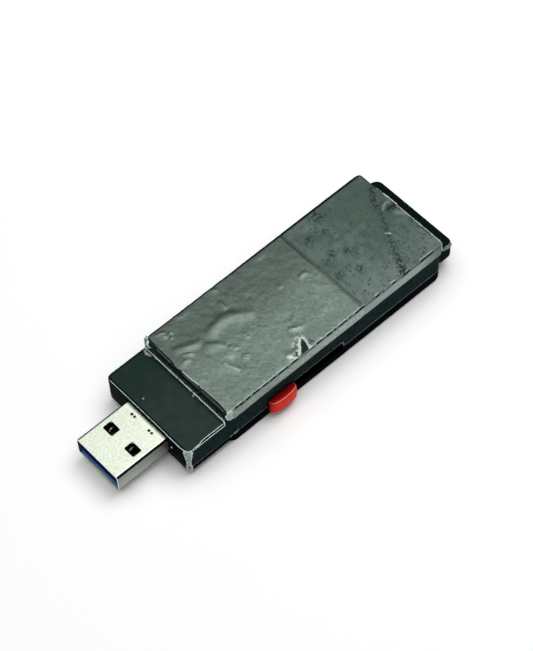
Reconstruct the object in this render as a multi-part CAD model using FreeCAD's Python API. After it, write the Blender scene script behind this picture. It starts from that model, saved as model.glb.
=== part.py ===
import FreeCAD, Part
import math
import os

# Stick-shaped solid state drive with a plug that slides out of its nose.
# Millimetres. +X points to the plug's tip, +Y to the side with the button, +Z up.
# The origin is the centre of the main block's underside.

# Case, outside
case_width = 24.0
main_length = 57.4
nose_length = 10.0
nose_top_z = 8.2
nose_underside_z = 1.2
parting_z = 3.2
cover_height = 2.8
body_corner_r = 2.2
cover_corner_r = 1.2
main_bottom_r = 0.6
nose_corner_r = 1.2
nose_bottom_r = 0.9
nose_top_r = 0.3
cover_top_r = 0.5
ledge_reach = 3.9
ledge_top_z = 6.9
ledge_side_inset = 0.85
ledge_corner_r = 1.8
ledge_edge_r = 0.4

# Case, walls and joints between its pieces
wall = 1.2
nose_skin = 1.0
nose_front_wall = 1.5
lip_height = 0.8
lip_width = 0.5
cover_lip_depth = 1.0
cover_lip_width = 0.9
cover_line_from_back = 21.7
cover_line_width = 0.25
cover_line_depth = 0.1
guide_width = 1.1
guide_height = 1.0
runner_width = 1.0
runner_height = 0.3
film_thickness = 0.1
film_edge_gap = 0.2
tear_length = 2.6
tear_width = 2.4
tear_from_front = 19.3

# Clearances
fit_gap = 0.1
slide_gap = 0.15
side_gap = 0.3
stop_gap = 0.3
mouth_gap = 0.25

# Plug
plug_width = 12.0
plug_height = 4.5
plug_length = 18.8
plug_reach = 12.4
plug_centre_z = 4.46
plug_sheet = 0.3
plug_corner_r = 0.6
plug_tip_chamfer = 0.12
plug_seam = 0.1
window_length = 2.05
window_width = 2.6
window_pitch = 6.3
window_from_tip = 6.3
window_chamfer = 0.25
mark_size = 0.5
mark_slit = 0.2
mark_pitch = 0.8
mark_pair_pitch = 5.0
mark_from_tip = 11.2
ear_length = 2.5
ear_reach = 1.7
ear_from_back = 0.8
tongue_setback = 0.4
tongue_chamfer = 0.5
block_length = 11.7
block_overhang = 1.0

# Contacts
contact_sheet = 0.15
front_contact_width = 1.0
front_contact_setback = 2.0
front_contact_places = (-3.5, -1.0, 1.0, 3.5)
rear_contact_width = 0.6
rear_contact_reach = 2.6
rear_contact_layer = 0.5
rear_contact_rise = 0.3
rear_contact_places = (-4.0, -2.0, 0.0, 2.0, 4.0)
tail_width = 0.4
tail_length = 1.8

# Slide button and its slot
button_length = 6.8
button_height = 3.3
button_reach = 1.95
button_bow = 0.5
button_end_r = 1.3
button_edge_r = 0.65
button_under_chamfer = 0.25
button_setback = 10.0
button_wall_gap = 0.25
stem_inset = 0.4
stem_height = 2.1
slot_play = 0.2
slot_end_gap = 0.4
slot_back_room = 1.3
slot_above_parting = 0.35
slot_corner_r = 0.4
tenon_inset = 0.7
tenon_height = 1.4

# Sled
rail_width = 1.2
rail_cover = 0.4
shelf_width = 0.7
shelf_thickness = 0.8
hook_length = 3.0
hook_reach = 0.5
hook_height = 0.6
hook_from_end = 5.0
cross_rib = 1.6
finger_length = 8.0
finger_slit = 0.5
finger_thickness = 0.7
finger_bump = 0.15
finger_bump_length = 1.6
notch_depth = 0.4

# Circuit board and what is soldered to it
board_thickness = 1.0
board_drop = 0.55
board_arm_gap = 0.6
flash_length = 18.0
flash_width = 12.0
flash_height = 1.0
flash_margin = 1.5
controller_side = 9.0
controller_height = 0.9
controller_from_notch = 5.0
firmware_length = 4.0
firmware_width = 3.0
firmware_height = 0.75
regulator_side = 2.6
regulator_height = 0.8
inductor_side = 3.0
inductor_height = 1.5
inductor_cap_height = 0.3
inductor_corner = 0.5
crystal_length = 3.2
crystal_width = 2.5
crystal_height = 0.8
diode_length = 2.5
diode_width = 1.0
diode_height = 0.5
fuse_length = 3.2
fuse_width = 1.6
fuse_height = 0.6
passive_length = 1.6
passive_width = 0.8
capacitor_height = 0.8
resistor_height = 0.45
cap_end = 0.3
cap_lip = 0.04
passive_gap = 0.8
passive_count = 5
chip_chamfer = 0.15
chip_mark_side = 0.5
chip_mark_inset = 0.6
chip_mark_depth = 0.06

# The largest share of a side that one round corner may take
corner_share = 0.49

# Places that follow from the sizes above
half_width = case_width / 2
main_front_x = main_length / 2
main_back_x = -main_length / 2
nose_front_x = main_front_x + nose_length
cover_top_z = nose_top_z + cover_height
cavity_half = half_width - wall
cavity_front_x = main_front_x - wall
cavity_back_x = main_back_x + wall
cavity_corner_r = max(body_corner_r - wall, fit_gap)
nose_cavity_front_x = nose_front_x - nose_front_wall
nose_floor_z = nose_underside_z + nose_skin
nose_roof_z = nose_top_z - nose_skin
travel = plug_reach

plug_tip_x = nose_front_x + plug_reach
plug_back_x = plug_tip_x - plug_length
plug_bottom_z = plug_centre_z - plug_height / 2
plug_top_z = plug_centre_z + plug_height / 2
plug_inner_half = plug_width / 2 - plug_sheet
tongue_top_z = plug_centre_z
board_top_z = plug_centre_z - board_drop
board_bottom_z = board_top_z - board_thickness

slot_z = parting_z + slot_above_parting
slot_height = stem_height + 2 * slot_play
button_front_x = main_front_x - button_setback
button_back_x = button_front_x - button_length
stem_front_x = button_front_x - stem_inset
stem_back_x = button_back_x + stem_inset
slot_front_x = stem_front_x + slot_end_gap
slot_back_x = stem_back_x - travel - slot_back_room

tray_half = cavity_half - side_gap
tray_inner_half = tray_half - rail_width
tray_front_x = nose_cavity_front_x - stop_gap
tray_step_x = cavity_front_x - stop_gap
tray_back_x = cavity_back_x + travel + stop_gap
tray_bottom_z = wall + runner_height + slide_gap
tray_nose_z = max(nose_floor_z + slide_gap, tray_bottom_z)
tray_top_z = slot_z + stem_height / 2 + rail_cover
guide_z = tray_top_z + slide_gap

board_half = tray_inner_half - fit_gap
board_back_x = tray_back_x + rail_width + fit_gap
board_arm_x = tray_front_x - board_arm_gap
block_back_x = plug_back_x - block_overhang
board_notch_x = block_back_x - fit_gap
board_notch_half = plug_width / 2 + fit_gap
flash_x = board_back_x + flash_margin + flash_length / 2
controller_x = board_notch_x - controller_from_notch - controller_side / 2
beside_controller_y = (controller_side / 2 + board_half) / 2


def vec(x, y, z):
    return FreeCAD.Vector(x, y, z)


def block(x0, x1, y0, y1, z0, z1):
    return Part.makeBox(x1 - x0, y1 - y0, z1 - z0, vec(x0, y0, z0))


def centred_block(x, y, length, width, z0, z1):
    return block(x - length / 2, x + length / 2, y - width / 2, y + width / 2, z0, z1)


def rounded_wire(u0, u1, v0, v1, radius, place):
    """A rectangle with round corners; place turns (u, v) into a point."""
    r = min(radius, corner_share * (u1 - u0), corner_share * (v1 - v0))
    s = r * (1 - math.sqrt(0.5))
    corners = (
        (u1, v0, -1, 1),
        (u1, v1, -1, -1),
        (u0, v1, 1, -1),
        (u0, v0, 1, 1),
    )
    points = []
    for index, (u, v, du, dv) in enumerate(corners):
        along_u = place(u + du * r, v)
        along_v = place(u, v + dv * r)
        middle = place(u + du * s, v + dv * s)
        first, last = (along_u, along_v) if index % 2 == 0 else (along_v, along_u)
        points.append((first, middle, last))
    edges = []
    for index, (first, middle, last) in enumerate(points):
        edges.append(Part.Arc(first, middle, last).toShape())
        following = points[(index + 1) % len(points)][0]
        edges.append(Part.LineSegment(last, following).toShape())
    return Part.Wire(edges)


def plate(x0, x1, y0, y1, z0, z1, radius):
    """An upright prism whose plan is a rectangle with round corners."""
    wire = rounded_wire(x0, x1, y0, y1, radius, lambda u, v: vec(u, v, z0))
    return Part.Face(wire).extrude(vec(0, 0, z1 - z0))


def tube_bar(x0, x1, y0, y1, z0, z1, radius):
    """A bar along X whose section is a rectangle with round corners."""
    wire = rounded_wire(y0, y1, z0, z1, radius, lambda u, v: vec(x0, u, v))
    return Part.Face(wire).extrude(vec(x1 - x0, 0, 0))


def edges_at(shape, z):
    """The edges of a shape that lie flat at height z."""
    found = []
    for edge in shape.Edges:
        box = edge.BoundBox
        if abs(box.ZMin - z) < 1e-6 and abs(box.ZMax - z) < 1e-6:
            found.append(edge)
    return found


def round_at(shape, z, radius):
    return shape.makeFillet(radius, edges_at(shape, z))


def strip(points, width, y, sheet):
    """A bent metal strip: the points are its lower line in X and Z, seen from the side."""
    upper = [(x, z + sheet) for x, z in reversed(points)]
    outline = [vec(x, y - width / 2, z) for x, z in points + upper]
    face = Part.Face(Part.makePolygon(outline + outline[:1]))
    return face.extrude(vec(0, width, 0))


def tidy(shape):
    return shape.removeSplitter()


def case_blank():
    """Main block and nose as one outer form, up to the foot of the cover."""
    main = plate(main_back_x, main_front_x, -half_width, half_width, 0, nose_top_z, body_corner_r)
    main = round_at(main, 0, main_bottom_r)
    nose = plate(0, nose_front_x, -half_width, half_width, nose_underside_z, nose_top_z, nose_corner_r)
    nose = round_at(nose, nose_underside_z, nose_bottom_r)
    nose = round_at(nose, nose_top_z, nose_top_r)
    nose = nose.common(
        block(cavity_front_x, nose_front_x, -half_width, half_width, nose_underside_z, nose_top_z)
    )
    return tidy(main.fuse(nose))


def case_cavity():
    """The room inside: the main room, the lower room in the nose and the plug's mouth."""
    main = plate(
        cavity_back_x, cavity_front_x, -cavity_half, cavity_half, wall, nose_top_z, cavity_corner_r
    )
    nose = plate(
        0, nose_cavity_front_x, -cavity_half, cavity_half, nose_floor_z, nose_roof_z, cavity_corner_r
    )
    mouth = tube_bar(
        cavity_front_x - wall,
        nose_front_x + wall,
        -plug_width / 2 - mouth_gap,
        plug_width / 2 + mouth_gap,
        plug_bottom_z - mouth_gap,
        plug_top_z + mouth_gap,
        plug_corner_r + mouth_gap,
    )
    return main.fuse([nose, mouth])


def button_slot():
    """The slot in the side wall, half in each shell."""
    wire = rounded_wire(
        slot_back_x,
        slot_front_x,
        slot_z - slot_height / 2,
        slot_z + slot_height / 2,
        slot_corner_r,
        lambda u, v: vec(u, cavity_half - wall, v),
    )
    return Part.Face(wire).extrude(vec(0, 3 * wall, 0))


def detent_notches():
    """The two hollows in the far wall where the sled's finger rests."""
    notches = []
    for shift in (0, -travel):
        notches.append(
            centred_block(
                finger_bump_x() + shift,
                -cavity_half - notch_depth / 2,
                2 * finger_bump_length,
                notch_depth,
                tray_bottom_z,
                tray_top_z,
            )
        )
    return Part.makeCompound(notches)


def parting_lip(outer_half, lip_top_z):
    """The rim of the lower shell that stands up inside the upper shell's wall."""
    margin = outer_half - cavity_half
    outer = plate(
        cavity_back_x - margin,
        nose_cavity_front_x + margin,
        -outer_half,
        outer_half,
        parting_z,
        lip_top_z,
        cavity_corner_r + margin,
    )
    inner = plate(
        cavity_back_x,
        nose_cavity_front_x,
        -cavity_half,
        cavity_half,
        parting_z,
        lip_top_z,
        cavity_corner_r,
    )
    return outer.cut(inner)


def below_parting():
    reach = nose_front_x + plug_reach
    return block(-reach, reach, -case_width, case_width, 0, parting_z)


def make_lower_shell():
    shell = case_blank().common(below_parting()).cut(case_cavity())
    lip = parting_lip(cavity_half + lip_width, parting_z + lip_height)
    mouth = centred_block(
        nose_front_x, 0, 4 * nose_front_wall, plug_width + 4 * mouth_gap, parting_z, plug_top_z
    )
    shell = shell.fuse(lip.cut(mouth))
    for side in (-1, 1):
        runner = block(
            cavity_back_x,
            cavity_front_x,
            side * tray_half - runner_width * (1 + side) / 2,
            side * tray_half + runner_width * (1 - side) / 2,
            wall,
            wall + runner_height,
        )
        shell = shell.fuse(runner)
    return tidy(shell.cut(button_slot()).cut(detent_notches()))


def make_upper_shell():
    shell = case_blank().cut(below_parting()).cut(case_cavity())
    ledge_half = half_width - ledge_side_inset
    ledge = plate(
        main_back_x - ledge_reach,
        cavity_back_x,
        -ledge_half,
        ledge_half,
        parting_z,
        ledge_top_z,
        ledge_corner_r,
    )
    ledge = round_at(ledge, ledge_top_z, ledge_edge_r)
    ledge = round_at(ledge, parting_z, ledge_edge_r)
    shell = shell.fuse(ledge.common(below_wall_line(main_back_x + wall / 2)))
    for side in (-1, 1):
        guide = block(
            cavity_back_x,
            cavity_front_x,
            side * cavity_half - guide_width * (1 + side) / 2,
            side * cavity_half + guide_width * (1 - side) / 2,
            guide_z,
            guide_z + guide_height,
        )
        shell = shell.fuse(guide)
    groove = parting_lip(cavity_half + lip_width + fit_gap, parting_z + lip_height + fit_gap)
    return tidy(shell.cut(groove).cut(button_slot()).cut(detent_notches()))


def below_wall_line(x):
    """Everything behind the plane at x."""
    return block(main_back_x - ledge_reach, x, -half_width, half_width, 0, nose_top_z)


def cover_form(grow):
    """The cover's outer form, grown all round by a small amount."""
    form = plate(
        main_back_x - grow,
        main_front_x + grow,
        -half_width - grow,
        half_width + grow,
        nose_top_z,
        cover_top_z + grow,
        cover_corner_r + grow,
    )
    return round_at(form, cover_top_z + grow, cover_top_r + grow)


def make_top_cover():
    cover = cover_form(0)
    room = plate(
        cavity_back_x,
        cavity_front_x,
        -cavity_half,
        cavity_half,
        nose_top_z,
        cover_top_z - wall,
        cavity_corner_r,
    )
    lip_half = cavity_half - fit_gap
    lip = plate(
        cavity_back_x + fit_gap,
        cavity_front_x - fit_gap,
        -lip_half,
        lip_half,
        nose_top_z - cover_lip_depth,
        cover_top_z - wall / 2,
        cavity_corner_r,
    )
    lip_room = plate(
        cavity_back_x + fit_gap + cover_lip_width,
        cavity_front_x - fit_gap - cover_lip_width,
        -lip_half + cover_lip_width,
        lip_half - cover_lip_width,
        nose_top_z - cover_lip_depth,
        cover_top_z - wall,
        cavity_corner_r,
    )
    line_x = main_back_x + cover_line_from_back
    line = block(
        line_x,
        line_x + cover_line_width,
        -half_width + cover_top_r,
        half_width - cover_top_r,
        cover_top_z - cover_line_depth,
        cover_top_z,
    )
    return tidy(cover.cut(room).cut(line).fuse(lip.cut(lip_room)))


def make_cover_film():
    """A sheet over the cover's top, folded down its two long sides, with the tear at one edge."""
    skin = cover_channel(film_thickness).cut(cover_channel(0))
    plan = plate(
        main_back_x + cover_top_r,
        main_front_x - cover_top_r,
        -half_width - film_thickness,
        half_width + film_thickness,
        nose_top_z + film_edge_gap,
        cover_top_z + film_thickness,
        cover_corner_r + film_thickness,
    )
    tear_x = main_front_x - tear_from_front
    tear_y = half_width - cover_top_r
    outline = [
        vec(tear_x, tear_y, cover_top_z - film_thickness),
        vec(tear_x - tear_length, tear_y - film_edge_gap, cover_top_z - film_thickness),
        vec(tear_x - tear_length, tear_y - tear_width, cover_top_z - film_thickness),
    ]
    tear = Part.Face(Part.makePolygon(outline + outline[:1])).extrude(vec(0, 0, wall))
    return skin.common(plan).cut(tear)


def cover_channel(grow):
    """The cover's cross section, grown by a small amount and drawn along its length."""
    return tube_bar(
        main_back_x,
        main_front_x,
        -half_width - grow,
        half_width + grow,
        nose_top_z - cover_height,
        cover_top_z + grow,
        cover_top_r + grow,
    )


def make_nose_film():
    margin = nose_top_r + film_edge_gap
    film = plate(
        0,
        nose_front_x - margin,
        -half_width + margin,
        half_width - margin,
        nose_top_z,
        nose_top_z + film_thickness,
        nose_corner_r - margin,
    )
    behind = block(
        0, main_front_x + film_edge_gap, -half_width, half_width, nose_top_z, cover_top_z
    )
    return film.cut(behind)


def finger_bump_x():
    """Middle of the bump at the free end of the sled's sprung finger."""
    return tray_step_x - finger_length


def make_slide_tray():
    """A frame with two rails, shelves under the board, hooks over it and a sprung finger."""
    rail_front = block(tray_back_x, tray_front_x, -tray_half, tray_half, tray_nose_z, tray_top_z)
    rail_main = block(tray_back_x, tray_step_x, -tray_half, tray_half, tray_bottom_z, tray_top_z)
    tray = rail_front.fuse(rail_main)
    inside = block(
        tray_back_x + rail_width,
        tray_front_x + rail_width,
        -tray_inner_half,
        tray_inner_half,
        tray_bottom_z,
        tray_top_z,
    )
    tray = tray.cut(inside)
    for side in (-1, 1):
        near = side * (tray_inner_half - shelf_width)
        far = side * tray_inner_half
        shelf = block(
            tray_back_x,
            tray_step_x,
            min(near, far),
            max(near, far),
            board_bottom_z - shelf_thickness,
            board_bottom_z,
        )
        tray = tray.fuse(shelf)
        for hook_x in (board_back_x + hook_from_end, tray_step_x - hook_from_end):
            tray = tray.fuse(board_hook(hook_x, side))
    back_shelf = block(
        tray_back_x,
        tray_back_x + rail_width + shelf_width,
        -tray_inner_half,
        tray_inner_half,
        board_bottom_z - shelf_thickness,
        board_bottom_z,
    )
    rib = centred_block(
        controller_x,
        0,
        cross_rib,
        2 * tray_inner_half,
        board_bottom_z - shelf_thickness,
        board_bottom_z,
    )
    tray = tray.fuse([back_shelf, rib])
    return tidy(tray.cut(button_tenon(fit_gap)).cut(finger_cut()).fuse(finger_nub()))


def board_hook(x, side):
    """A wedge on a rail's inner face that holds the board's edge down."""
    z = board_top_z + fit_gap / 2
    profile = [
        vec(x - hook_length / 2, side * tray_inner_half, z),
        vec(x - hook_length / 2, side * (tray_inner_half - hook_reach), z),
        vec(x - hook_length / 2, side * tray_inner_half, z + hook_height),
    ]
    return Part.Face(Part.makePolygon(profile + profile[:1])).extrude(vec(hook_length, 0, 0))


def finger_cut():
    """The slits that free the finger from the far rail."""
    start_x = finger_bump_x() - finger_bump_length
    end_x = start_x + finger_length
    behind = block(
        start_x - finger_slit,
        end_x,
        -tray_half + finger_thickness,
        -tray_inner_half,
        board_top_z + hook_height + fit_gap,
        tray_top_z,
    )
    tip = block(
        start_x - finger_slit,
        start_x,
        -tray_half,
        -tray_inner_half,
        board_top_z + hook_height + fit_gap,
        tray_top_z,
    )
    return behind.fuse(tip)


def finger_nub():
    """The low bump on the finger, a segment of an upright round bar."""
    chord = finger_bump_length / 2
    x = finger_bump_x()
    y = -tray_half
    z = (board_top_z + hook_height + fit_gap + tray_top_z) / 2
    start = vec(x - chord, y, z)
    end = vec(x + chord, y, z)
    bow = Part.Arc(start, vec(x, y - finger_bump, z), end).toShape()
    face = Part.Face(Part.Wire([bow, Part.LineSegment(end, start).toShape()]))
    return face.extrude(vec(0, 0, tray_top_z - z))


def button_tenon(grow):
    """The block on the button's stem that is pressed into the sled's rail."""
    return block(
        stem_back_x + tenon_inset - grow,
        stem_front_x - tenon_inset + grow,
        tray_inner_half,
        tray_half,
        slot_z - tenon_height / 2 - grow,
        slot_z + tenon_height / 2 + grow,
    )


def make_slide_button():
    """A bowed thumb piece outside the wall, its stem in the slot and its tenon in the sled."""
    face_y = half_width + button_wall_gap
    bow_y = half_width + button_reach - button_bow
    low_z = slot_z - button_height / 2
    corners = [
        vec(button_front_x, bow_y, low_z),
        vec(button_front_x, half_width, low_z),
        vec(button_back_x, half_width, low_z),
        vec(button_back_x, bow_y, low_z),
    ]
    crown = vec((button_front_x + button_back_x) / 2, half_width + button_reach, low_z)
    edges = [Part.LineSegment(a, b).toShape() for a, b in zip(corners, corners[1:])]
    edges.append(Part.Arc(corners[-1], crown, corners[0]).toShape())
    head = Part.Face(Part.Wire(edges)).extrude(vec(0, 0, button_height))
    ends = [e for e in head.Edges if e.BoundBox.ZLength > button_edge_r and e.BoundBox.YMin > face_y]
    head = head.makeFillet(button_end_r, ends)
    rims = [e for z in (low_z, low_z + button_height) for e in edges_at(head, z)]
    rims = [e for e in rims if e.BoundBox.YMax > face_y]
    head = head.makeFillet(button_edge_r, [e for e in rims if e.BoundBox.ZMin > slot_z])
    rims = [e for e in edges_at(head, low_z) if e.BoundBox.YMax > face_y]
    head = head.makeChamfer(button_under_chamfer, rims)
    head = head.cut(
        block(
            button_back_x, button_front_x, half_width, face_y, low_z, low_z + button_height
        )
    )
    stem = block(
        stem_back_x,
        stem_front_x,
        tray_half,
        face_y,
        slot_z - stem_height / 2,
        slot_z + stem_height / 2,
    )
    return tidy(head.fuse([stem, button_tenon(0)]))


def plug_bore(x0, x1, inset):
    """The room inside the plug's shell, drawn in from its sides by an inset."""
    return tube_bar(
        x0,
        x1,
        -plug_inner_half + inset,
        plug_inner_half - inset,
        plug_bottom_z + plug_sheet,
        plug_top_z - plug_sheet,
        max(plug_corner_r - plug_sheet, contact_sheet),
    )


def make_plug_shell():
    """A folded sheet tube with windows, punched marks, a seam below and two solder ears."""
    half = plug_width / 2
    tube = tube_bar(plug_back_x, plug_tip_x, -half, half, plug_bottom_z, plug_top_z, plug_corner_r)
    tip_edges = [e for e in tube.Edges if e.BoundBox.XMin > plug_tip_x - plug_sheet]
    tube = tube.makeChamfer(plug_tip_chamfer, tip_edges)
    seam = block(
        plug_back_x,
        plug_tip_x,
        -plug_seam / 2,
        plug_seam / 2,
        plug_bottom_z - plug_sheet,
        plug_bottom_z + plug_sheet,
    )
    shell = tube.cut(plug_bore(plug_back_x, plug_tip_x, 0)).cut(seam)
    for side in (-1, 1):
        window_x = plug_tip_x - window_from_tip
        window_y = side * window_pitch / 2
        window = centred_block(
            window_x,
            window_y,
            window_length,
            window_width,
            plug_bottom_z - plug_sheet,
            plug_top_z + plug_sheet,
        )
        upright = [e for e in window.Edges if e.BoundBox.ZLength > plug_sheet]
        window = window.makeChamfer(window_chamfer, upright)
        mark_x = plug_tip_x - mark_from_tip
        mark_y = (side * mark_pair_pitch - mark_pitch) / 2
        mark = centred_block(mark_x, mark_y, mark_size, mark_size, plug_centre_z, plug_top_z + plug_sheet)
        slit = centred_block(
            mark_x, mark_y + mark_pitch, mark_size, mark_slit, plug_centre_z, plug_top_z + plug_sheet
        )
        shell = shell.cut([window, mark, slit])
        ear_x = plug_back_x + ear_from_back
        ear = block(
            ear_x,
            ear_x + ear_length,
            min(side * (half - plug_sheet), side * (half + ear_reach)),
            max(side * (half - plug_sheet), side * (half + ear_reach)),
            board_top_z,
            board_top_z + plug_sheet,
        )
        shell = shell.fuse(ear)
    return tidy(shell)


def contact_paths():
    """Side outlines of the contacts: the lower line of each strip in X and Z."""
    tail_x = block_back_x - tail_length
    bend_x = block_back_x
    blade_z = tongue_top_z
    tail = [(tail_x, board_top_z), (bend_x - contact_sheet, board_top_z), (bend_x, blade_z)]
    front = tail + [(plug_tip_x - front_contact_setback, blade_z)]
    hump_x = plug_back_x + block_length - block_overhang
    rear_z = blade_z + rear_contact_layer
    crest_x = hump_x + rear_contact_reach / 2
    rear = tail[:2] + [
        (bend_x, rear_z),
        (hump_x, rear_z),
        (crest_x, rear_z + rear_contact_rise),
        (crest_x + contact_sheet, rear_z + rear_contact_rise),
        (hump_x + rear_contact_reach, blade_z + contact_sheet),
    ]
    return front, rear


def make_contacts(path, width, places):
    """Strips that are wide on the tongue and narrow at their solder tails."""
    strips = []
    for y in places:
        tail = strip(path[:3], tail_width, y, contact_sheet)
        blade = strip(path[2:], width, y, contact_sheet)
        strips.append(tidy(tail.fuse(blade)))
    return Part.makeCompound(strips)


def make_plug_insulator():
    """The tongue in the lower half of the plug, and the block at its root that fills it."""
    front_x = plug_tip_x - tongue_setback
    half = plug_inner_half - fit_gap / 2
    low_z = plug_bottom_z + plug_sheet
    high_z = plug_top_z - plug_sheet
    tongue = block(block_back_x, front_x, -half, half, low_z, tongue_top_z)
    nose_edges = [e for e in edges_at(tongue, tongue_top_z) if e.BoundBox.XMin > front_x - fit_gap]
    tongue = tongue.makeChamfer(tongue_chamfer, nose_edges)
    root = block(block_back_x, block_back_x + block_length, -half, half, tongue_top_z, high_z)
    insulator = tongue.fuse(root).common(plug_bore(block_back_x, front_x, fit_gap / 2))
    channels = [(y, front_contact_width, tongue_top_z) for y in front_contact_places]
    rear_z = tongue_top_z + rear_contact_layer
    channels += [(y, rear_contact_width, rear_z) for y in rear_contact_places]
    for y, width, z in channels:
        channel = block(
            block_back_x,
            block_back_x + block_length,
            y - width / 2 - fit_gap / 2,
            y + width / 2 + fit_gap / 2,
            z,
            z + contact_sheet + fit_gap,
        )
        insulator = insulator.cut(channel)
    return tidy(insulator)


def make_circuit_board():
    """The board, with a notch at its front for the plug's root."""
    board = block(board_back_x, board_arm_x, -board_half, board_half, board_bottom_z, board_top_z)
    notch = block(
        board_notch_x,
        board_arm_x,
        -board_notch_half,
        board_notch_half,
        board_bottom_z,
        board_top_z,
    )
    return tidy(board.cut(notch))


def chip(x, y, length, width, height, over=True):
    """A moulded package with eased edges and a square dimple at its first pin."""
    low = board_top_z if over else board_bottom_z - height
    body = centred_block(x, y, length, width, low, low + height)
    outer_z = low + height if over else low
    body = body.makeChamfer(chip_chamfer, edges_at(body, outer_z))
    mark = centred_block(
        x + length / 2 - chip_mark_inset,
        y + width / 2 - chip_mark_inset,
        chip_mark_side,
        chip_mark_side,
        outer_z - chip_mark_depth,
        outer_z + chip_mark_depth,
    )
    return body.cut(mark)


def chip_component(x, y, length, width, height):
    """A ceramic block with metal end caps that stand slightly proud of it."""
    body = centred_block(x, y, length, width - 2 * cap_lip, board_top_z, board_top_z + height - cap_lip)
    ends = []
    for side in (-1, 1):
        end_x = x + side * (length - cap_end) / 2
        ends.append(centred_block(end_x, y, cap_end, width, board_top_z, board_top_z + height))
    return tidy(body.fuse(ends))


def make_controller_chip():
    return chip(controller_x, 0, controller_side, controller_side, controller_height)


def make_flash_chip(over):
    return chip(flash_x, 0, flash_length, flash_width, flash_height, over)


def front_strip_x():
    """Middle of the free strip between the plug's tails and the controller."""
    tails_end = block_back_x - tail_length
    return (tails_end + controller_x + controller_side / 2) / 2


def make_firmware_chip():
    return chip(
        controller_x - (controller_side - firmware_length) / 2,
        -beside_controller_y,
        firmware_length,
        firmware_width,
        firmware_height,
    )


def make_regulator_chip():
    return chip(
        controller_x - (controller_side - regulator_side) / 2,
        beside_controller_y,
        regulator_side,
        regulator_side,
        regulator_height,
    )


def make_power_inductor():
    """A shielded coil: a square base with cut corners and a round cap."""
    x = controller_x + (controller_side - inductor_side) / 2
    base_top = board_top_z + inductor_height - inductor_cap_height
    base = centred_block(x, beside_controller_y, inductor_side, inductor_side, board_top_z, base_top)
    upright = [e for e in base.Edges if e.BoundBox.ZLength > inductor_height / 2]
    base = base.makeChamfer(inductor_corner, upright)
    cap = Part.makeCylinder(
        inductor_side / 2 - chip_chamfer, inductor_cap_height, vec(x, beside_controller_y, base_top)
    )
    return tidy(base.fuse(cap))


def make_clock_crystal():
    """A ceramic tray with a metal lid set in from its edge."""
    x = controller_x + (controller_side - crystal_length) / 2
    y = -beside_controller_y
    base_top = board_top_z + crystal_height / 2
    base = centred_block(x, y, crystal_length, crystal_width, board_top_z, base_top)
    lid = centred_block(
        x,
        y,
        crystal_length - 2 * chip_chamfer,
        crystal_width - 2 * chip_chamfer,
        base_top,
        board_top_z + crystal_height,
    )
    return tidy(base.fuse(lid))


def make_surge_diodes():
    diodes = []
    for side in (-1, 1):
        diodes.append(
            centred_block(
                front_strip_x(),
                side * diode_length,
                diode_width,
                diode_length,
                board_top_z,
                board_top_z + diode_height,
            )
        )
    return Part.makeCompound(diodes)


def make_input_fuse():
    y = board_half - hook_reach - fuse_width
    return chip_component(front_strip_x(), y, fuse_length, fuse_width, fuse_height)


def passive_row(x, side, height):
    """Small parts in a row along a board edge, beside the memory."""
    parts = []
    pitch = passive_length + passive_gap
    for index in range(passive_count):
        place_x = x + (index - (passive_count - 1) / 2) * pitch
        y = side * (flash_width / 2 + board_half - shelf_width) / 2
        parts.append(chip_component(place_x, y, passive_length, passive_width, height))
    return parts


def make_capacitors():
    return Part.makeCompound(passive_row(flash_x, 1, capacitor_height))


def make_resistors():
    return Part.makeCompound(passive_row(flash_x, -1, resistor_height))


front_path, rear_path = contact_paths()
pieces = {
    "lower_shell": make_lower_shell(),
    "upper_shell": make_upper_shell(),
    "top_cover": make_top_cover(),
    "cover_film": make_cover_film(),
    "nose_film": make_nose_film(),
    "slide_tray": make_slide_tray(),
    "slide_button": make_slide_button(),
    "plug_shell": make_plug_shell(),
    "plug_insulator": make_plug_insulator(),
    "plug_front_contacts": make_contacts(front_path, front_contact_width, front_contact_places),
    "plug_rear_contacts": make_contacts(rear_path, rear_contact_width, rear_contact_places),
    "circuit_board": make_circuit_board(),
    "controller_chip": make_controller_chip(),
    "flash_chip_top": make_flash_chip(True),
    "flash_chip_bottom": make_flash_chip(False),
    "firmware_chip": make_firmware_chip(),
    "regulator_chip": make_regulator_chip(),
    "power_inductor": make_power_inductor(),
    "clock_crystal": make_clock_crystal(),
    "surge_diodes": make_surge_diodes(),
    "input_fuse": make_input_fuse(),
    "capacitors": make_capacitors(),
    "resistors": make_resistors(),
}

os.makedirs("parts", exist_ok=True)
for name, shape in pieces.items():
    shape.exportStep("parts/" + name + ".step")
    print(name, "solids", len(shape.Solids), "volume", round(shape.Volume, 2), "valid", shape.isValid())
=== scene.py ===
"""Dresses the packed solid state drive for its studio picture: film, mouldings, plug, board and stage."""
import math
import random
from typing import NamedTuple

import bpy
import numpy as np
from bpy.props import FloatProperty, FloatVectorProperty, PointerProperty
from mathutils import Matrix, Vector, noise


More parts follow.
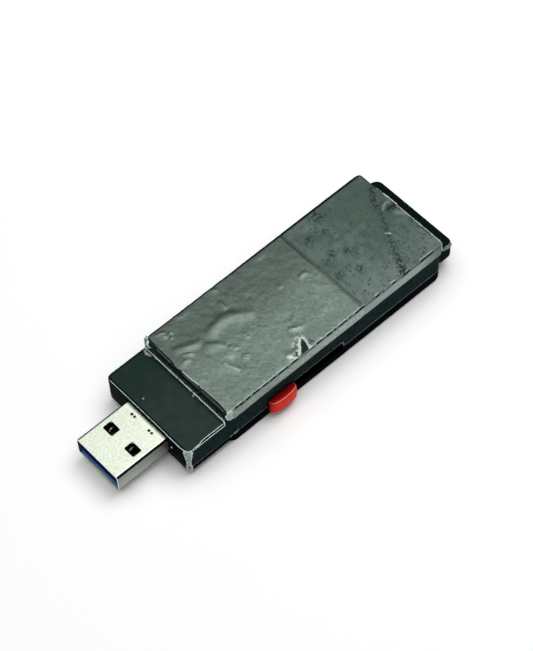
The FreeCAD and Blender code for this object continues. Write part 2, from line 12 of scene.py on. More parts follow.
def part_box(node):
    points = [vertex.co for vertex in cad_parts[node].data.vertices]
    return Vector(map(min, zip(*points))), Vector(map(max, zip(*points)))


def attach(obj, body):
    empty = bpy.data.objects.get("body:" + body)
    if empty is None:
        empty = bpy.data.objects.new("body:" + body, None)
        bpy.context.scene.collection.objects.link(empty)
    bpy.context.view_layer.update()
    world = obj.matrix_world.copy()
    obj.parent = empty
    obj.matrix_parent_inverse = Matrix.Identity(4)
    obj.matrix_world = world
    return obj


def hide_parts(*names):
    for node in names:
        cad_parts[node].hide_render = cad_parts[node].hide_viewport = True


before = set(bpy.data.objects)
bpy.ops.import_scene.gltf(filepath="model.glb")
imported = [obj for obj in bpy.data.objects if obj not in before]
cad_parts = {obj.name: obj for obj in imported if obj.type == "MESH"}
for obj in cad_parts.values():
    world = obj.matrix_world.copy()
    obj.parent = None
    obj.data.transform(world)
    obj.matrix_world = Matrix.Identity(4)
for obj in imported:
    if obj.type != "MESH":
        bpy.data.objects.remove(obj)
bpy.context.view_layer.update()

bl_info = {
    "name": "Solid State Drive Dressing",
    "version": (1, 0, 0),
    "blender": (4, 5, 0),
    "location": "View3D > Sidebar > Drive",
    "description": "Builds the worn film, the finishes and the studio around the packed drive",
    "category": "Object",
}

# Blender works in metres; every place and size below that stands beside MM is in millimetres.
MM = 0.001
# The picture's height in pixels and the camera's sensor in millimetres.
IMAGE_HEIGHT = 651
SENSOR = 36.0


def box_mm(node):
    """Lowest and highest corner of a packed node, in millimetres."""
    lo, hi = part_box(node)
    return np.array(lo) / MM, np.array(hi) / MM


FILM_LO, FILM_HI = box_mm("cover_film")
COVER_LO, COVER_HI = box_mm("top_cover")
NOSE_LO, NOSE_HI = box_mm("nose_film")
SHELL_LO, SHELL_HI = box_mm("upper_shell")


class Wrinkle(NamedTuple):
    """A fold in the film: its crest from above, and its reach to the left and right of that way."""

    path: tuple
    left: float
    right: float
    height: float


class Blister(NamedTuple):
    """A round rise in the film, or a hollow where the height is negative."""

    x: float
    y: float
    length: float
    breadth: float
    height: float


class HazeStroke(NamedTuple):
    """A stroke in the film's haze: its line, half its breadth, and how much milkier it is there."""

    path: tuple
    breadth: float
    amount: float


class Speck(NamedTuple):
    """A small round spot on a film, such as a dark place, a nick or a grain of dust."""

    x: float
    y: float
    radius: float


class Bunch(NamedTuple):
    """A strip of bunched film: breadths along it, lift, seed, and the haze of its middle and of its rims.

    The haze of the middle varies within a spread, a share of the strip's right half is dark in teeth, and a
    hole may lie at a length along it.
    """

    name: str
    breadths: tuple
    lift: float
    seed: int
    middle: float = 0.9
    spread: float = 0.06
    rims: float = 0.95
    toothed: float = 0.0
    hole: float | None = None


class SmallPart(NamedTuple):
    """A part with a plain finish: its node, the finish's name and tones, grain, roughness and relief."""

    node: str
    finish: str
    light: tuple
    dark: tuple
    spacing: float
    rough: float
    depth: float
    metal: float = 0.0


WRINKLES = (
    Wrinkle(
        ((9.0, -1.7), (11.6, -3.3), (13.4, -4.6), (15.2, -5.0), (17.4, -4.7), (20.2, -4.1)), 1.5, 0.75, 0.26
    ),
    Wrinkle(((18.0, 0.2), (19.6, -1.2), (21.6, -2.9)), 1.1, 0.6, 0.20),
    Wrinkle(((20.9, -4.0), (23.0, -4.4), (24.8, -5.1), (26.6, -6.1)), 0.95, 0.6, 0.20),
    Wrinkle(((23.8, -2.6), (25.9, -3.9)), 0.5, 0.3, 0.12),
    Wrinkle(((24.8, -2.3), (27.6, -2.7)), 0.6, 0.4, 0.10),
    Wrinkle(((4.6, 7.1), (6.0, 6.3), (7.4, 5.7)), 0.6, 0.45, 0.16),
    Wrinkle(((6.4, 8.0), (8.4, 8.1)), 0.3, 1.0, 0.15),
    Wrinkle(((16.2, 4.9), (17.6, 3.9)), 0.3, 0.25, 0.13),
    Wrinkle(((16.8, 5.3), (18.2, 4.3)), 0.3, 0.25, 0.13),
    Wrinkle(((17.2, 1.3), (18.2, 0.8)), 0.35, 0.25, 0.11),
    Wrinkle(((16.8, 2.1), (17.9, 1.5)), 0.35, 0.25, 0.11),
    Wrinkle(((13.6, 1.2), (14.3, 0.2)), 0.3, 0.25, 0.09),
    Wrinkle(((13.5, 1.8), (14.5, 1.0)), 0.3, 0.25, 0.09),
    Wrinkle(((19.8, 6.2), (20.9, 4.2), (21.4, 2.6)), 0.7, 0.4, 0.22),
    Wrinkle(((12.5, -6.0), (12.5, -8.5)), 0.6, 0.35, 0.12),
    Wrinkle(((10.7, -10.7), (12.4, -11.5)), 0.6, 0.4, 0.08),
    Wrinkle(((-4.9, -1.6), (-3.6, -1.9), (-2.2, -1.6)), 0.55, 0.4, 0.14),
    Wrinkle(((-6.0, 3.9), (-2.8, 0.8)), 0.7, 0.7, 0.05),
    Wrinkle(((9.9, 11.2), (11.7, 9.6)), 0.9, 0.5, 0.13),
    Wrinkle(((-28.2, -3.4), (-25.4, -3.0)), 0.7, 0.5, 0.14),
    Wrinkle(((-28.4, -0.8), (-26.4, -1.1)), 0.8, 0.5, 0.12),
    Wrinkle(((23.6, -9.4), (24.5, -9.2)), 0.35, 0.25, 0.15),
    Wrinkle(((24.4, -8.3), (25.1, -8.8)), 0.35, 0.25, 0.12),
    Wrinkle(((25.0, -9.0), (25.9, -9.7), (26.4, -10.3)), 0.4, 0.25, 0.16),
    Wrinkle(((24.6, -10.2), (25.6, -10.6), (26.9, -11.0)), 0.4, 0.25, 0.16),
)
BLISTERS = (
    Blister(19.3, 4.6, 1.4, 1.6, -0.11),
    Blister(19.0, 2.1, 0.8, 0.9, 0.07),
    Blister(1.6, -2.9, 0.65, 0.6, 0.08),
    Blister(5.1, 3.6, 0.8, 0.7, -0.06),
    Blister(26.6, -2.9, 1.4, 1.2, 0.06),
    Blister(-0.3, -10.9, 1.3, 0.7, 0.06),
    Blister(19.5, -11.0, 1.4, 0.6, 0.06),
)
SPECKS = (
    Speck(-8.7, 3.3, 0.35),
    Speck(-12.8, 5.0, 0.30),
    Speck(-13.8, 0.0, 0.28),
    Speck(-11.1, -1.5, 0.32),
    Speck(-10.0, -7.0, 0.42),
    Speck(-15.2, -10.5, 0.65),
    Speck(-13.7, -6.3, 0.28),
    Speck(-9.2, -0.4, 0.25),
    Speck(-27.6, -1.7, 0.45),
)
HAZE_STROKES = (
    # A pale dash, and beside it its painted shadow.
    HazeStroke(((-22.0, 2.2), (-22.8, 2.9)), 0.13, 0.55),
    HazeStroke(((-21.8, 2.5), (-22.5, 3.2)), 0.12, -0.3),
    # A painted highlight on a fold, painted shade in the hollow beside it, and a pale stroke.
    HazeStroke(((-25.4, -2.5), (-28.0, -3.0)), 0.4, 0.13),
    HazeStroke(((-26.4, -1.7), (-28.5, -1.7)), 0.35, -0.5),
    HazeStroke(((-27.1, -0.2), (-28.2, 1.1)), 0.5, 0.07),
    # Painted highlights on the fold above the tear, painted shadow below it and painted shade in a hollow.
    HazeStroke(((7.3, 6.2), (6.1, 6.7), (4.8, 7.6)), 0.15, 0.11),
    HazeStroke(((7.0, 6.9), (5.6, 7.7)), 0.12, 0.09),
    HazeStroke(((6.6, 5.6), (5.7, 6.5)), 0.25, -0.2),
    HazeStroke(((4.4, 3.2), (5.6, 4.4)), 0.5, -0.12),
    # Painted highlights on the folds beside the tear.
    HazeStroke(((11.5, 10.3), (10.2, 11.9)), 0.25, 0.3),
    HazeStroke(((10.9, 10.5), (9.7, 10.7)), 0.25, 0.3),
    HazeStroke(((8.6, 8.8), (9.2, 9.2)), 0.25, 0.35),
    # Painted highlights on the crests of folds near the front.
    HazeStroke(((23.7, -9.4), (24.6, -9.2)), 0.18, 0.42),
    HazeStroke(((25.0, -9.1), (26.2, -10.1)), 0.22, 0.42),
    HazeStroke(((24.2, -2.9), (25.6, -3.7)), 0.22, 0.3),
    HazeStroke(((25.5, -2.5), (26.9, -2.6)), 0.25, 0.18),
    # Dark strokes near the film's back end.
    HazeStroke(((-28.3, 2.7), (-28.3, 3.5)), 0.14, -0.4),
    HazeStroke(((-27.8, 5.2), (-28.3, 6.3), (-28.3, 8.4)), 0.14, -0.35),
)
SCUFF_PATH = (
    (-17.9, 11.5), (-19.3, 9.3), (-20.2, 7.1), (-21.5, 3.9), (-24.1, -0.3), (-25.9, -5.0), (-27.8, -7.9),
)
# The film's front end: places across the drive and how far forward the film reaches there.
FRONT_EDGE = (
    (-12.2, 27.85),
    (-9.9, 28.0),
    (-8.2, 28.1),
    (-4.0, 28.15),
    (-3.2, 28.5),
    (-2.3, 28.5),
    (-1.9, 28.25),
    (1.2, 28.2),
    (3.4, 27.95),
    (4.1, 28.2),
    (4.6, 28.0),
    (9.3, 27.85),
    (11.0, 28.05),
    (12.2, 28.1),
)
# Stretches along the button side where the fold has split open, from back to front.
FOLD_SPLITS = (
    (-26.0, -22.2),
    (-19.6, -18.0),
    (-15.9, -14.3),
    (-11.5, -10.0),
    (-7.5, -4.5),
    (-3.9, -2.9),
    (-2.7, -0.2),
    (0.2, 1.0),
    (1.3, 3.1),
    (3.6, 5.6),
    (6.0, 7.1),
    (9.9, 12.3),
    (12.7, 15.6),
    (15.8, 17.6),
    (17.9, 19.5),
    (19.9, 22.1),
    (22.3, 23.8),
    (24.1, 26.6),
)
# The tear's outline from above.
TEAR = ((7.1, 11.75), (9.6, 11.75), (7.5, 9.6), (6.8, 9.3))
# Dark nicks where the film is split beside the tear.
TEAR_NICKS = (
    Speck(8.1, 8.5, 0.2),
    Speck(8.9, 9.2, 0.15),
    Speck(9.5, 9.7, 0.22),
    Speck(10.4, 10.9, 0.22),
    Speck(5.95, 10.4, 0.26),
    Speck(5.65, 10.8, 0.26),
    Speck(6.4, 11.1, 0.14),
    Speck(5.8, 10.0, 0.2),
)
# The tear's crumpled rims, each with its line on the cover.
TEAR_RIMS = (
    (
        ((6.9, 11.9), (6.7, 11.1), (6.35, 9.8), (6.35, 8.8), (7.0, 8.45)),
        Bunch("cover_film_tear_rim_0", (0.9, 0.7, 0.55, 0.6, 0.6), lift=0.22, seed=23, toothed=0.5),
    ),
    (
        ((7.0, 8.6), (7.75, 9.15), (8.85, 10.35), (9.95, 11.5)),
        Bunch("cover_film_tear_rim_1", (0.6, 1.0, 1.1, 1.0), lift=0.22, seed=24, toothed=0.5),
    ),
)
COVER_CORNER = Bunch("cover_film_corner", (1.2, 1.9, 2.0, 1.7), lift=0.12, seed=31, middle=0.74, spread=0.2)
COVER_FLAP = Bunch("cover_film_flap", (1.2, 2.6, 2.4, 1.4), lift=0.12, seed=37, middle=0.6, spread=0.25)
NOSE_CORNER = Bunch(
    "nose_film_corner", (1.9, 2.0, 1.6, 1.3, 0.9, 0.9, 1.2, 1.3, 0.9), lift=0.14, seed=41, middle=0.64,
    spread=0.22, hole=5.3,
)
# The shred of film on the ledge's end, its line and the ledge's height.
SHRED = Bunch(
    "cover_film_shred", (0.5, 0.7, 0.8, 0.4), lift=0.14, seed=47, middle=0.42, spread=0.15, rims=0.52
)
SHRED_PATH = ((-29.3, 10.9), (-30.6, 11.05), (-31.3, 11.05), (-31.85, 10.85))
LEDGE_TOP = 6.92
# Bunches: the distance between their rows of places, the places in a row, the haze of a dark tooth, the
# radius of a hole, their thickness, and the side that no strip on the cover stands past.
BUNCH_STEP = 0.15
BUNCH_ROW = 9
TOOTH_HAZE = 0.2
HOLE_RADIUS = 0.28
BUNCH_THICKNESS = 0.04
BUNCH_SIDE = 11.9
# Round corners that bunches run down, the rounding of their upper edge, and the length that turns over it.
CORNER_RADIUS = 1.2
CORNER_EDGE = 0.35
CORNER_TURN = 0.5
# The wrinkles stand this much higher than listed, and no place of the film goes past the relief's limits.
WRINKLE_SCALE = 1.32
RELIEF_LIMITS = (-0.08, 0.31)
# Lengths across the film from its middle: the splits in the fold, the hem below it, and the far fold.
SPLIT_LINE = 11.88
HEM_START = 12.2
FAR_FOLD = (11.45, 11.6)
# Pebbled film: how far forward it goes, the middle of its breadth, and half of that breadth.
PEBBLES_FRONT, PEBBLES_MIDDLE, PEBBLES_HALF = 12, -2, 9
# Haze of film that neither clings nor is stretched white, and how much each kind of mark takes from it.
USUAL_HAZE = 0.5
FLECK_SHADE = 0.28
SPECK_SHADE = 0.8
NICK_SHADE = 0.9
LINE_SHADE = 0.12
LINE_EDGE_SHADE = 0.2
# The film's back end: how far it lies in from the cover's, and where it clings, on the far side.
BACK_INSET = 0.08
CLINGING_SIDE = -5.5
CLINGING_END = -7.0
# The film's reflections are slightly green, and its creases mostly run to the back and the button side.
FILM_TINT = (0.78, 1.0, 0.88, 1.0)
FILM_GRAIN = math.radians(135)
# Dust on the nose.
DUST = (
    Speck(36.6, -3.2, 0.11),
    Speck(37.7, -3.8, 0.07),
    Speck(29.3, 2.9, 0.13),
)
# The pale mark at the nose's foot.
NOSE_MARK = HazeStroke(((29.3, -11.6), (29.5, -10.5), (29.3, -9.5)), 0.22, 0.55)
# Light and dark tones of the nose's beads, white for their highlights, and of the painted highlight on the
# cover's front edge, and the cover beads' shade.
NOSE_BEAD_TONES = ((0.88, 1.0, 0.94), (0.72, 0.86, 0.79))
FRONT_HIGHLIGHT_TONES = ((0.13, 0.16, 0.15), (0.04, 0.05, 0.05))
BEAD_SHADE = (0.34, 0.39, 0.37)
# Height of the slot's upper edge in the case's side.
SLOT_TOP = 4.82
# Black plastics mirror next to nothing, because the pale floor would turn their walls grey.
DULL = 0.003
# The plug's windows, painted dark as shade, and its punched marks, and where the contacts under the windows
# keep their gold as a glint.
WINDOWS = ((44.8, 3.15), (44.8, -3.15))
WINDOW_REACH = (1.1, 1.38)
WINDOW_CORNER = 0.22
GOLD_REACH = (0.6, 0.16)
MARKS = ((39.9, 2.1), (39.9, 2.9), (39.9, -2.9), (39.9, -2.1))
GOLD_SPOTS = ((44.4, 2.1), (44.4, -3.9))
MARK_RADIUS = 0.42
SMALL_PARTS = (
    SmallPart(
        "power_inductor", "ferrite_sintered", (0.10, 0.10, 0.11), (0.05, 0.05, 0.055), 0.1, 0.55, 0.006
    ),
    SmallPart(
        "clock_crystal", "crystal_lid_nickel", (0.72, 0.70, 0.64), (0.55, 0.53, 0.48), 0.3, 0.3, 0.002, 1.0
    ),
    SmallPart(
        "input_fuse", "fuse_ceramic_glazed", (0.62, 0.63, 0.60), (0.45, 0.46, 0.44), 0.2, 0.35, 0.003
    ),
    SmallPart(
        "capacitors", "capacitor_ceramic_fired", (0.36, 0.25, 0.15), (0.25, 0.17, 0.10), 0.15, 0.4, 0.003
    ),
    SmallPart(
        "resistors", "resistor_glass_black", (0.02, 0.02, 0.022), (0.06, 0.06, 0.06), 0.15, 0.3, 0.003
    ),
)
CHIPS = (
    "controller_chip", "flash_chip_top", "flash_chip_bottom", "firmware_chip", "regulator_chip",
    "surge_diodes",
)
# Most of a noise's values lie between these two.
NOISE_LOW, NOISE_HIGH = 0.35, 0.65


def colour_setting(name, description, default, brightest=1.0):
    """A colour in the sidebar."""
    return FloatVectorProperty(
        name=name, description=description, default=default, subtype="COLOR", min=0, max=brightest
    )


def length_setting(name, description, default):
    """A length in the sidebar, its default in millimetres."""
    return FloatProperty(name=name, description=description, default=default * MM, unit="LENGTH")


def angle_setting(name, description, default):
    """An angle in the sidebar, its default in degrees."""
    return FloatProperty(name=name, description=description, default=math.radians(default), subtype="ANGLE")


def place_setting(name, description, default):
    """A place in the sidebar, its default in millimetres."""
    metres = tuple(c * MM for c in default)
    return FloatVectorProperty(name=name, description=description, default=metres, subtype="TRANSLATION")


class CaseSettings(bpy.types.PropertyGroup):
    """Moulded shells and cover"""

    plastic: colour_setting("Plastic", "Colour of the moulded shells", (0.002, 0.010, 0.011))
    sheen: colour_setting("Grain light", "Colour of the raised grain", (0.020, 0.036, 0.036))
    # Painted highlight along the parting line, also the colour of the pale lines and marks on the button
    # side.
    painted_highlight_and_wear: colour_setting(
        "Edge highlight and wear", "Colour of the plastic where the parting edge is rubbed", (0.22, 0.26, 0.25)
    )
    shadow: colour_setting(
        "Low plastic", "Colour of the front wall and of the wall below the parting line",
        (0.0003, 0.0006, 0.0012),
    )
    grain: length_setting("Grain", "Spacing of the moulded grain", 0.12)
    parting: length_setting("Parting height", "Height of the joint between the shells", SHELL_LO[2])


class FilmSettings(bpy.types.PropertyGroup):
    """Shrink film on the cover and the nose"""

    step: length_setting("Grid step", "Distance between neighbouring places of the film", 0.2)
    fold_radius: length_setting(
        "Fold radius", "Outer radius where the film turns over the cover's long edges", 0.6
    )
    corner_radius: length_setting("Corner radius", "Plan radius of the film's four corners", 0.9)
    thickness: length_setting("Thickness", "Thickness of the film", 0.1)
    swell: length_setting("Swell", "Height of the slow unevenness", 0.05)
    crinkle: length_setting("Crinkle", "Height of the fine unevenness", 0.02)
    crease: length_setting("Crease", "Height of the small creases in the loose film", 0.036)
    bulge: length_setting(
        "Bulge", "How far the film stands off the cover's back edge on the side away from the button", 0.28
    )
    line_x: length_setting("Cross line", "Place of the line across the cover", -6.85)
    bare: colour_setting(
        "Clinging film", "Colour where the film lies wet on the black cover", (0.002, 0.004, 0.004)
    )
    matte: colour_setting(
        "Matte haze", "Colour of the rubbed film behind the cross line", (0.063, 0.101, 0.084)
    )
    haze: colour_setting(
        "Haze", "Colour of the loose film in front of the cross line", (0.132, 0.180, 0.146)
    )
    milky: colour_setting("Milky film", "Colour of stretched and folded film", (0.75, 0.87, 0.82))
    nose: colour_setting("Tight film", "Colour of the tight film on the nose", (0.002, 0.0135, 0.008))


class ButtonSettings(bpy.types.PropertyGroup):
    """Slide button"""

    red: colour_setting("Red", "Colour of the button's outer face", (0.84, 0.020, 0.008))
    # Painted highlight along the edge between face and top.
    rubbed_and_highlight: colour_setting("Red highlight", "Colour of the worn edge between face and top", (1.0, 0.58, 0.46))
    shade: colour_setting("Shaded red", "Colour beside the case", (0.05, 0.0005, 0.001))
    # Painted shade on the button's top, which faces up; also the tone of the button's grain.
    deep_red: colour_setting(
        "Deep red", "Colour of the button's top and in its grain", (0.32, 0.002, 0.002)
    )


class PlugSettings(bpy.types.PropertyGroup):
    """Plug shell, insulator and contacts"""

    steel: colour_setting("Steel", "Colour of the plated shell", (0.63, 0.685, 0.575))
    # Painted light on the shell's top beside the nose, where the nose would shade it.
    lit_plating: colour_setting(
        "Lit plating", "Colour of the shell's top beside the nose, where nothing rubs it",
        (0.84, 0.915, 0.765),
    )
    dull_steel: colour_setting("Dull steel", "Colour of the shell's rubbed grain", (0.49, 0.535, 0.445))
    # A darker copy of the steel for the upright sides: painted shade.
    side: colour_setting("Side", "Colour of the shell's upright sides", (0.235, 0.255, 0.235))
    # Painted highlight on the shell's front edge, which is made white and not metal.
    rubbed_and_highlight: colour_setting("Edge highlight", "Colour of the shell's broken front edge", (0.95, 0.97, 0.93))
    lip: colour_setting("Lip", "Colour of the shell's lower cut edge", (0.17, 0.23, 0.31))
    # Painted dark reflection along the shell's bends and far top edge, painted shade in its windows, and
    # the colour of its punched marks.
    bend: colour_setting("Bend", "Colour of the shell's bends and cut edge", (0.015, 0.016, 0.018))
    blue: colour_setting("Blue", "Colour of the insulator at its mouth", (0.02, 0.16, 0.46))
    # Painted shade on the insulator under the shell's roof and on the top of the shell's cut front edge.
    navy: colour_setting("Navy", "Colour of the insulator under the shell's roof", (0.0002, 0.0012, 0.06))
    # Painted shade on the insulator deep inside the shell.
    inside: colour_setting("Inside", "Colour of the insulator deep in the shell", (0.003, 0.003, 0.005))
    # The contacts' own gold, shown only where a glint lies under each window.
    gold: colour_setting("Gold", "Colour of the contacts where they are rubbed bright", (0.85, 0.68, 0.38))
    # Painted shade on the contacts inside the shell.
    shaded_contact: colour_setting("Contact shade", "Colour of the contacts elsewhere", (0.012, 0.010, 0.008))


class BoardSettings(bpy.types.PropertyGroup):
    """Tray, circuit board and the parts on it"""

    laminate: colour_setting("Laminate", "Colour of the board's lacquer", (0.010, 0.075, 0.032))
    package: colour_setting("Package", "Colour of the moulded chips", (0.018, 0.018, 0.020))
    tray: colour_setting("Tray", "Colour of the sliding tray", (0.014, 0.015, 0.016))


class StageSettings(bpy.types.PropertyGroup):
    """Floor, light and camera"""

    floor: colour_setting("Floor", "Colour of the floor", (0.99, 0.99, 0.99))
    sky: colour_setting("Overhead", "Colour of the light from above", (2.0, 2.0, 2.0), brightest=4.0)
    horizon: colour_setting("Horizon", "Colour of the light from the sides", (0.06, 0.062, 0.064))
    softbox_size: length_setting("Softbox", "Side of the square lamp", 300.0)
    softbox_power: FloatProperty(
        name="Softbox power", description="Power of the lamp", default=0.85, unit="POWER"
    )
    softbox_place: place_setting("Softbox place", "Where the lamp hangs", (-170.0, 10.0, 470.0))
    azimuth: angle_setting("Azimuth", "Direction of the camera round the drive", 141.052)
    elevation: angle_setting("Elevation", "Height of the camera above the floor", 56.497)
    roll: angle_setting("Roll", "Tilt of the camera about its view", -3.962)
    distance: length_setting("Distance", "From the camera to the place it looks at", 432.1)
    target: place_setting("Target", "Place that the camera looks at", (6.604, -1.570, 3.946))
    focal_pixels: FloatProperty(
        name="Focal length", description="Focal length in picture pixels", default=2200.0, subtype="PIXEL"
    )


class Finish:
    """A node material in the making, with a short call for each kind of node; lengths in millimetres."""

    def __init__(self, name):
        self.material = bpy.data.materials.new(name)
        self.material.use_nodes = True
        self.tree = self.material.node_tree
        self.shader = self.tree.nodes["Principled BSDF"]
        self.place = self.add("ShaderNodeTexCoord").outputs["Object"]

    def add(self, kind, **settings):
        """A new node with its settings."""
        node = self.tree.nodes.new(kind)
        for key, value in settings.items():
            setattr(node, key, value)
        return node

    def link(self, source, target):
        """Joins one node's output to another's input."""
        self.tree.links.new(source, target)

    def set(self, **values):
        """Fixed values on the shader's own sockets; an underscore stands for a space."""
        for key, value in values.items():
            self.shader.inputs[key.replace("_", " ")].default_value = value

    def grain(self, spacing, detail=3.0, stretch=1.0, turn=0.0):
        """Noise whose features lie about one spacing apart, drawn out along one direction from above."""
        node = self.add("ShaderNodeTexNoise")
        node.inputs["Scale"].default_value = 1 / (spacing * MM)
        node.inputs["Detail"].default_value = detail
        mapping = self.add("ShaderNodeMapping", vector_type="TEXTURE")
        mapping.inputs["Scale"].default_value = (stretch, 1, 1)
        mapping.inputs["Rotation"].default_value = (0, 0, turn)
        self.link(self.place, mapping.inputs["Vector"])
        self.link(mapping.outputs["Vector"], node.inputs["Vector"])
        return node.outputs["Fac"]

    def span(self, value, low, high, start=NOISE_LOW, end=NOISE_HIGH):
        """A value's stretch from start to end, laid over low to high."""
        node = self.add("ShaderNodeMapRange")
        for key, number in zip(("From Min", "From Max", "To Min", "To Max"), (start, end, low, high)):
            node.inputs[key].default_value = number
        self.link(value, node.inputs["Value"])
        return node.outputs["Result"]

    def across(self, axis, low, high, start, end):
        """A value that goes from low to high between two places along an axis of the object."""
        return self.span(self.part_of(self.place, axis), low, high, start * MM, end * MM)

    def facing(self, axis):
        """How far the surface faces along an axis, from -1 to 1."""
        return self.part_of(self.add("ShaderNodeNewGeometry").outputs["Normal"], axis)

    def part_of(self, vector, axis):
        """One of a vector's X, Y and Z."""
        split = self.add("ShaderNodeSeparateXYZ")
        self.link(vector, split.inputs["Vector"])
        return split.outputs[axis]

    def work(self, operation, *values):
        """What an operation makes of some values, each a socket or a fixed number."""
        node = self.add("ShaderNodeMath", operation=operation)
        for socket, value in zip(node.inputs, values):
            if isinstance(value, bpy.types.NodeSocket):
                self.link(value, socket)
            else:
                socket.default_value = value
        return node.outputs["Value"]

    def blend(self, factor, first, second):
        """A colour between two others, each a fixed colour or a socket."""
        node = self.add("ShaderNodeMix", data_type="RGBA")
        self.link(factor, node.inputs["Factor"])
        for key, colour in (("A", first), ("B", second)):
            socket = next(s for s in node.inputs if s.name == key and s.type == "RGBA")
            if isinstance(colour, bpy.types.NodeSocket):
                self.link(colour, socket)
            else:
                socket.default_value = (*colour, 1)
        return next(s for s in node.outputs if s.type == "RGBA")

    def painted(self, name):
        """A value stored on the mesh."""
        return self.add("ShaderNodeAttribute", attribute_name=name).outputs["Fac"]

    def ramp(self, factor, stops):
        """A colour that runs through stops of (position, colour)."""
        node = self.add("ShaderNodeValToRGB")
        while len(node.color_ramp.elements) < len(stops):
            node.color_ramp.elements.new(0.5)
        for element, (position, colour) in zip(node.color_ramp.elements, stops):
            element.position = position
            element.color = (*colour, 1)
        self.link(factor, node.inputs["Fac"])
        return node.outputs["Color"]

    def patch(self, centre, reach, corner=0.0):
        """1 within a box about a place of the object and 0 outside it, with cut corners from above."""
        mask = None
        steps = []
        for axis, middle, half in zip("XYZ", centre, reach):
            place = self.part_of(self.place, axis)
            near = self.work("COMPARE", place, middle * MM, half * MM)
            mask = self.work("MULTIPLY", mask, near) if mask else near
            steps.append(self.work("ABSOLUTE", self.work("SUBTRACT", place, middle * MM)))
        if corner:
            total = self.work("ADD", steps[0], steps[1])
            within = self.work("LESS_THAN", total, (reach[0] + reach[1] - corner) * MM)
            mask = self.work("MULTIPLY", mask, within)
        return mask

    def spot(self, centre, radius):
        """1 about a place of the object, falling to 0 at a radius."""
        core = 0.4 * radius
        node = self.add("ShaderNodeVectorMath", operation="DISTANCE")
        self.link(self.place, node.inputs[0])
        node.inputs[1].default_value = [c * MM for c in centre]
        return self.span(node.outputs["Value"], 1.0, 0.0, core * MM, radius * MM)

    def bump(self, height, depth):
        """A fine relief on the surface."""
        node = self.add("ShaderNodeBump")
        node.inputs["Distance"].default_value = depth * MM
        self.link(height, node.inputs["Height"])
        self.link(node.outputs["Normal"], self.shader.inputs["Normal"])

    def colour(self, source):
        """The surface's own colour."""
        self.link(source, self.shader.inputs["Base Color"])

    def gloss(self, source, rough, drift):
        """A roughness that a noise drives to both sides of a middle value."""
        self.link(self.span(source, rough - drift, rough + drift), self.shader.inputs["Roughness"])


def grained(name, first, second, spacing, rough, depth, **fixed):
    """A surface with two tones in its grain, uneven gloss and a fine relief; lengths in millimetres."""
    finish = Finish(name)
    fine = finish.grain(spacing)
    broad = finish.grain(spacing * 12)
    finish.colour(finish.blend(finish.work("MULTIPLY", fine, broad), first, second))
    finish.gloss(broad, rough, 0.06)
    finish.bump(fine, depth)
    finish.set(**fixed)
    return finish.material


def surround(settings):
    """A dome of light, bright overhead and dim towards the horizon."""
    world = bpy.data.worlds.new("surround")
    world.use_nodes = True
    tree = world.node_tree
    direction = tree.nodes.new("ShaderNodeTexCoord")
    split = tree.nodes.new("ShaderNodeSeparateXYZ")
    ramp = tree.nodes.new("ShaderNodeValToRGB")
    ramp.color_ramp.interpolation = "EASE"
    stops = ((0.60, settings.horizon), (1.0, settings.sky))
    for element, (position, colour) in zip(ramp.color_ramp.elements, stops):
        element.position = position
        element.color = (*colour, 1)
    tree.links.new(direction.outputs["Generated"], split.inputs["Vector"])
    tree.links.new(split.outputs["Z"], ramp.inputs["Fac"])
    tree.links.new(ramp.outputs["Color"], tree.nodes["Background"].inputs["Color"])
    return world


def dress(node, material):
    """Gives a packed node its finish."""
    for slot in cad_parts[node].material_slots:
        slot.material = material


def set_out(name, mesh, material, rounded, body):
    """Puts a mesh in the scene as a piece with one finish, riding on a body."""
    mesh.polygons.foreach_set("use_smooth", [rounded] * len(mesh.polygons))
    mesh.materials.clear()
    mesh.materials.append(material)
    piece = bpy.data.objects.new(name, mesh)
    bpy.context.scene.collection.objects.link(piece)
    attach(piece, body)
    return piece


def add_piece(name, places, faces, material, body, rounded=True):
    """A mesh piece from places in millimetres."""
    mesh = bpy.data.meshes.new(name)
    mesh.from_pydata([tuple(p) for p in np.asarray(places) * MM], [], faces)
    mesh.validate()
    return set_out(name, mesh, material, rounded, body)


def paint(piece, name, values):
    """Stores one value for each place of a piece's mesh."""
    attribute = piece.data.attributes.new(name, "FLOAT", "POINT")
    attribute.data.foreach_set("value", np.asarray(values, np.float32))


def stepped(start, runs):
    """Values from start through runs of (end, step), evenly divided within each run."""
    values = [start]
    for end, step in runs:
        count = max(1, round((end - values[-1]) / step))
        values.extend(np.linspace(values[-1], end, count + 1)[1:])
    return np.array(values)


def smooth(value, low, high):
    """0 below low, 1 above high and an even ease between."""
    t = np.clip((value - low) / (high - low), 0, 1)
    return t * t * (3 - 2 * t)


def rising(least, amount):
    """From a least share up to 1, as an amount goes from 0 to 1."""
    return least + (1 - least) * amount


def hump(away, reach):
    """1 at no distance, falling off to both sides over a reach."""
    return np.exp(-((away / reach) ** 2))


def run_lengths(points):
    """How far along a chain each of its points lies."""
    steps = np.linalg.norm(np.diff(points, axis=0), axis=1)
    return np.concatenate(([0], np.cumsum(steps)))


def ripple(x, y, spacing, seed):
    """Even noise between about -1 and 1 over the film."""
    flat = zip(x.ravel() / spacing, y.ravel() / spacing)
    return np.array([noise.noise((a, b, seed)) for a, b in flat]).reshape(x.shape)


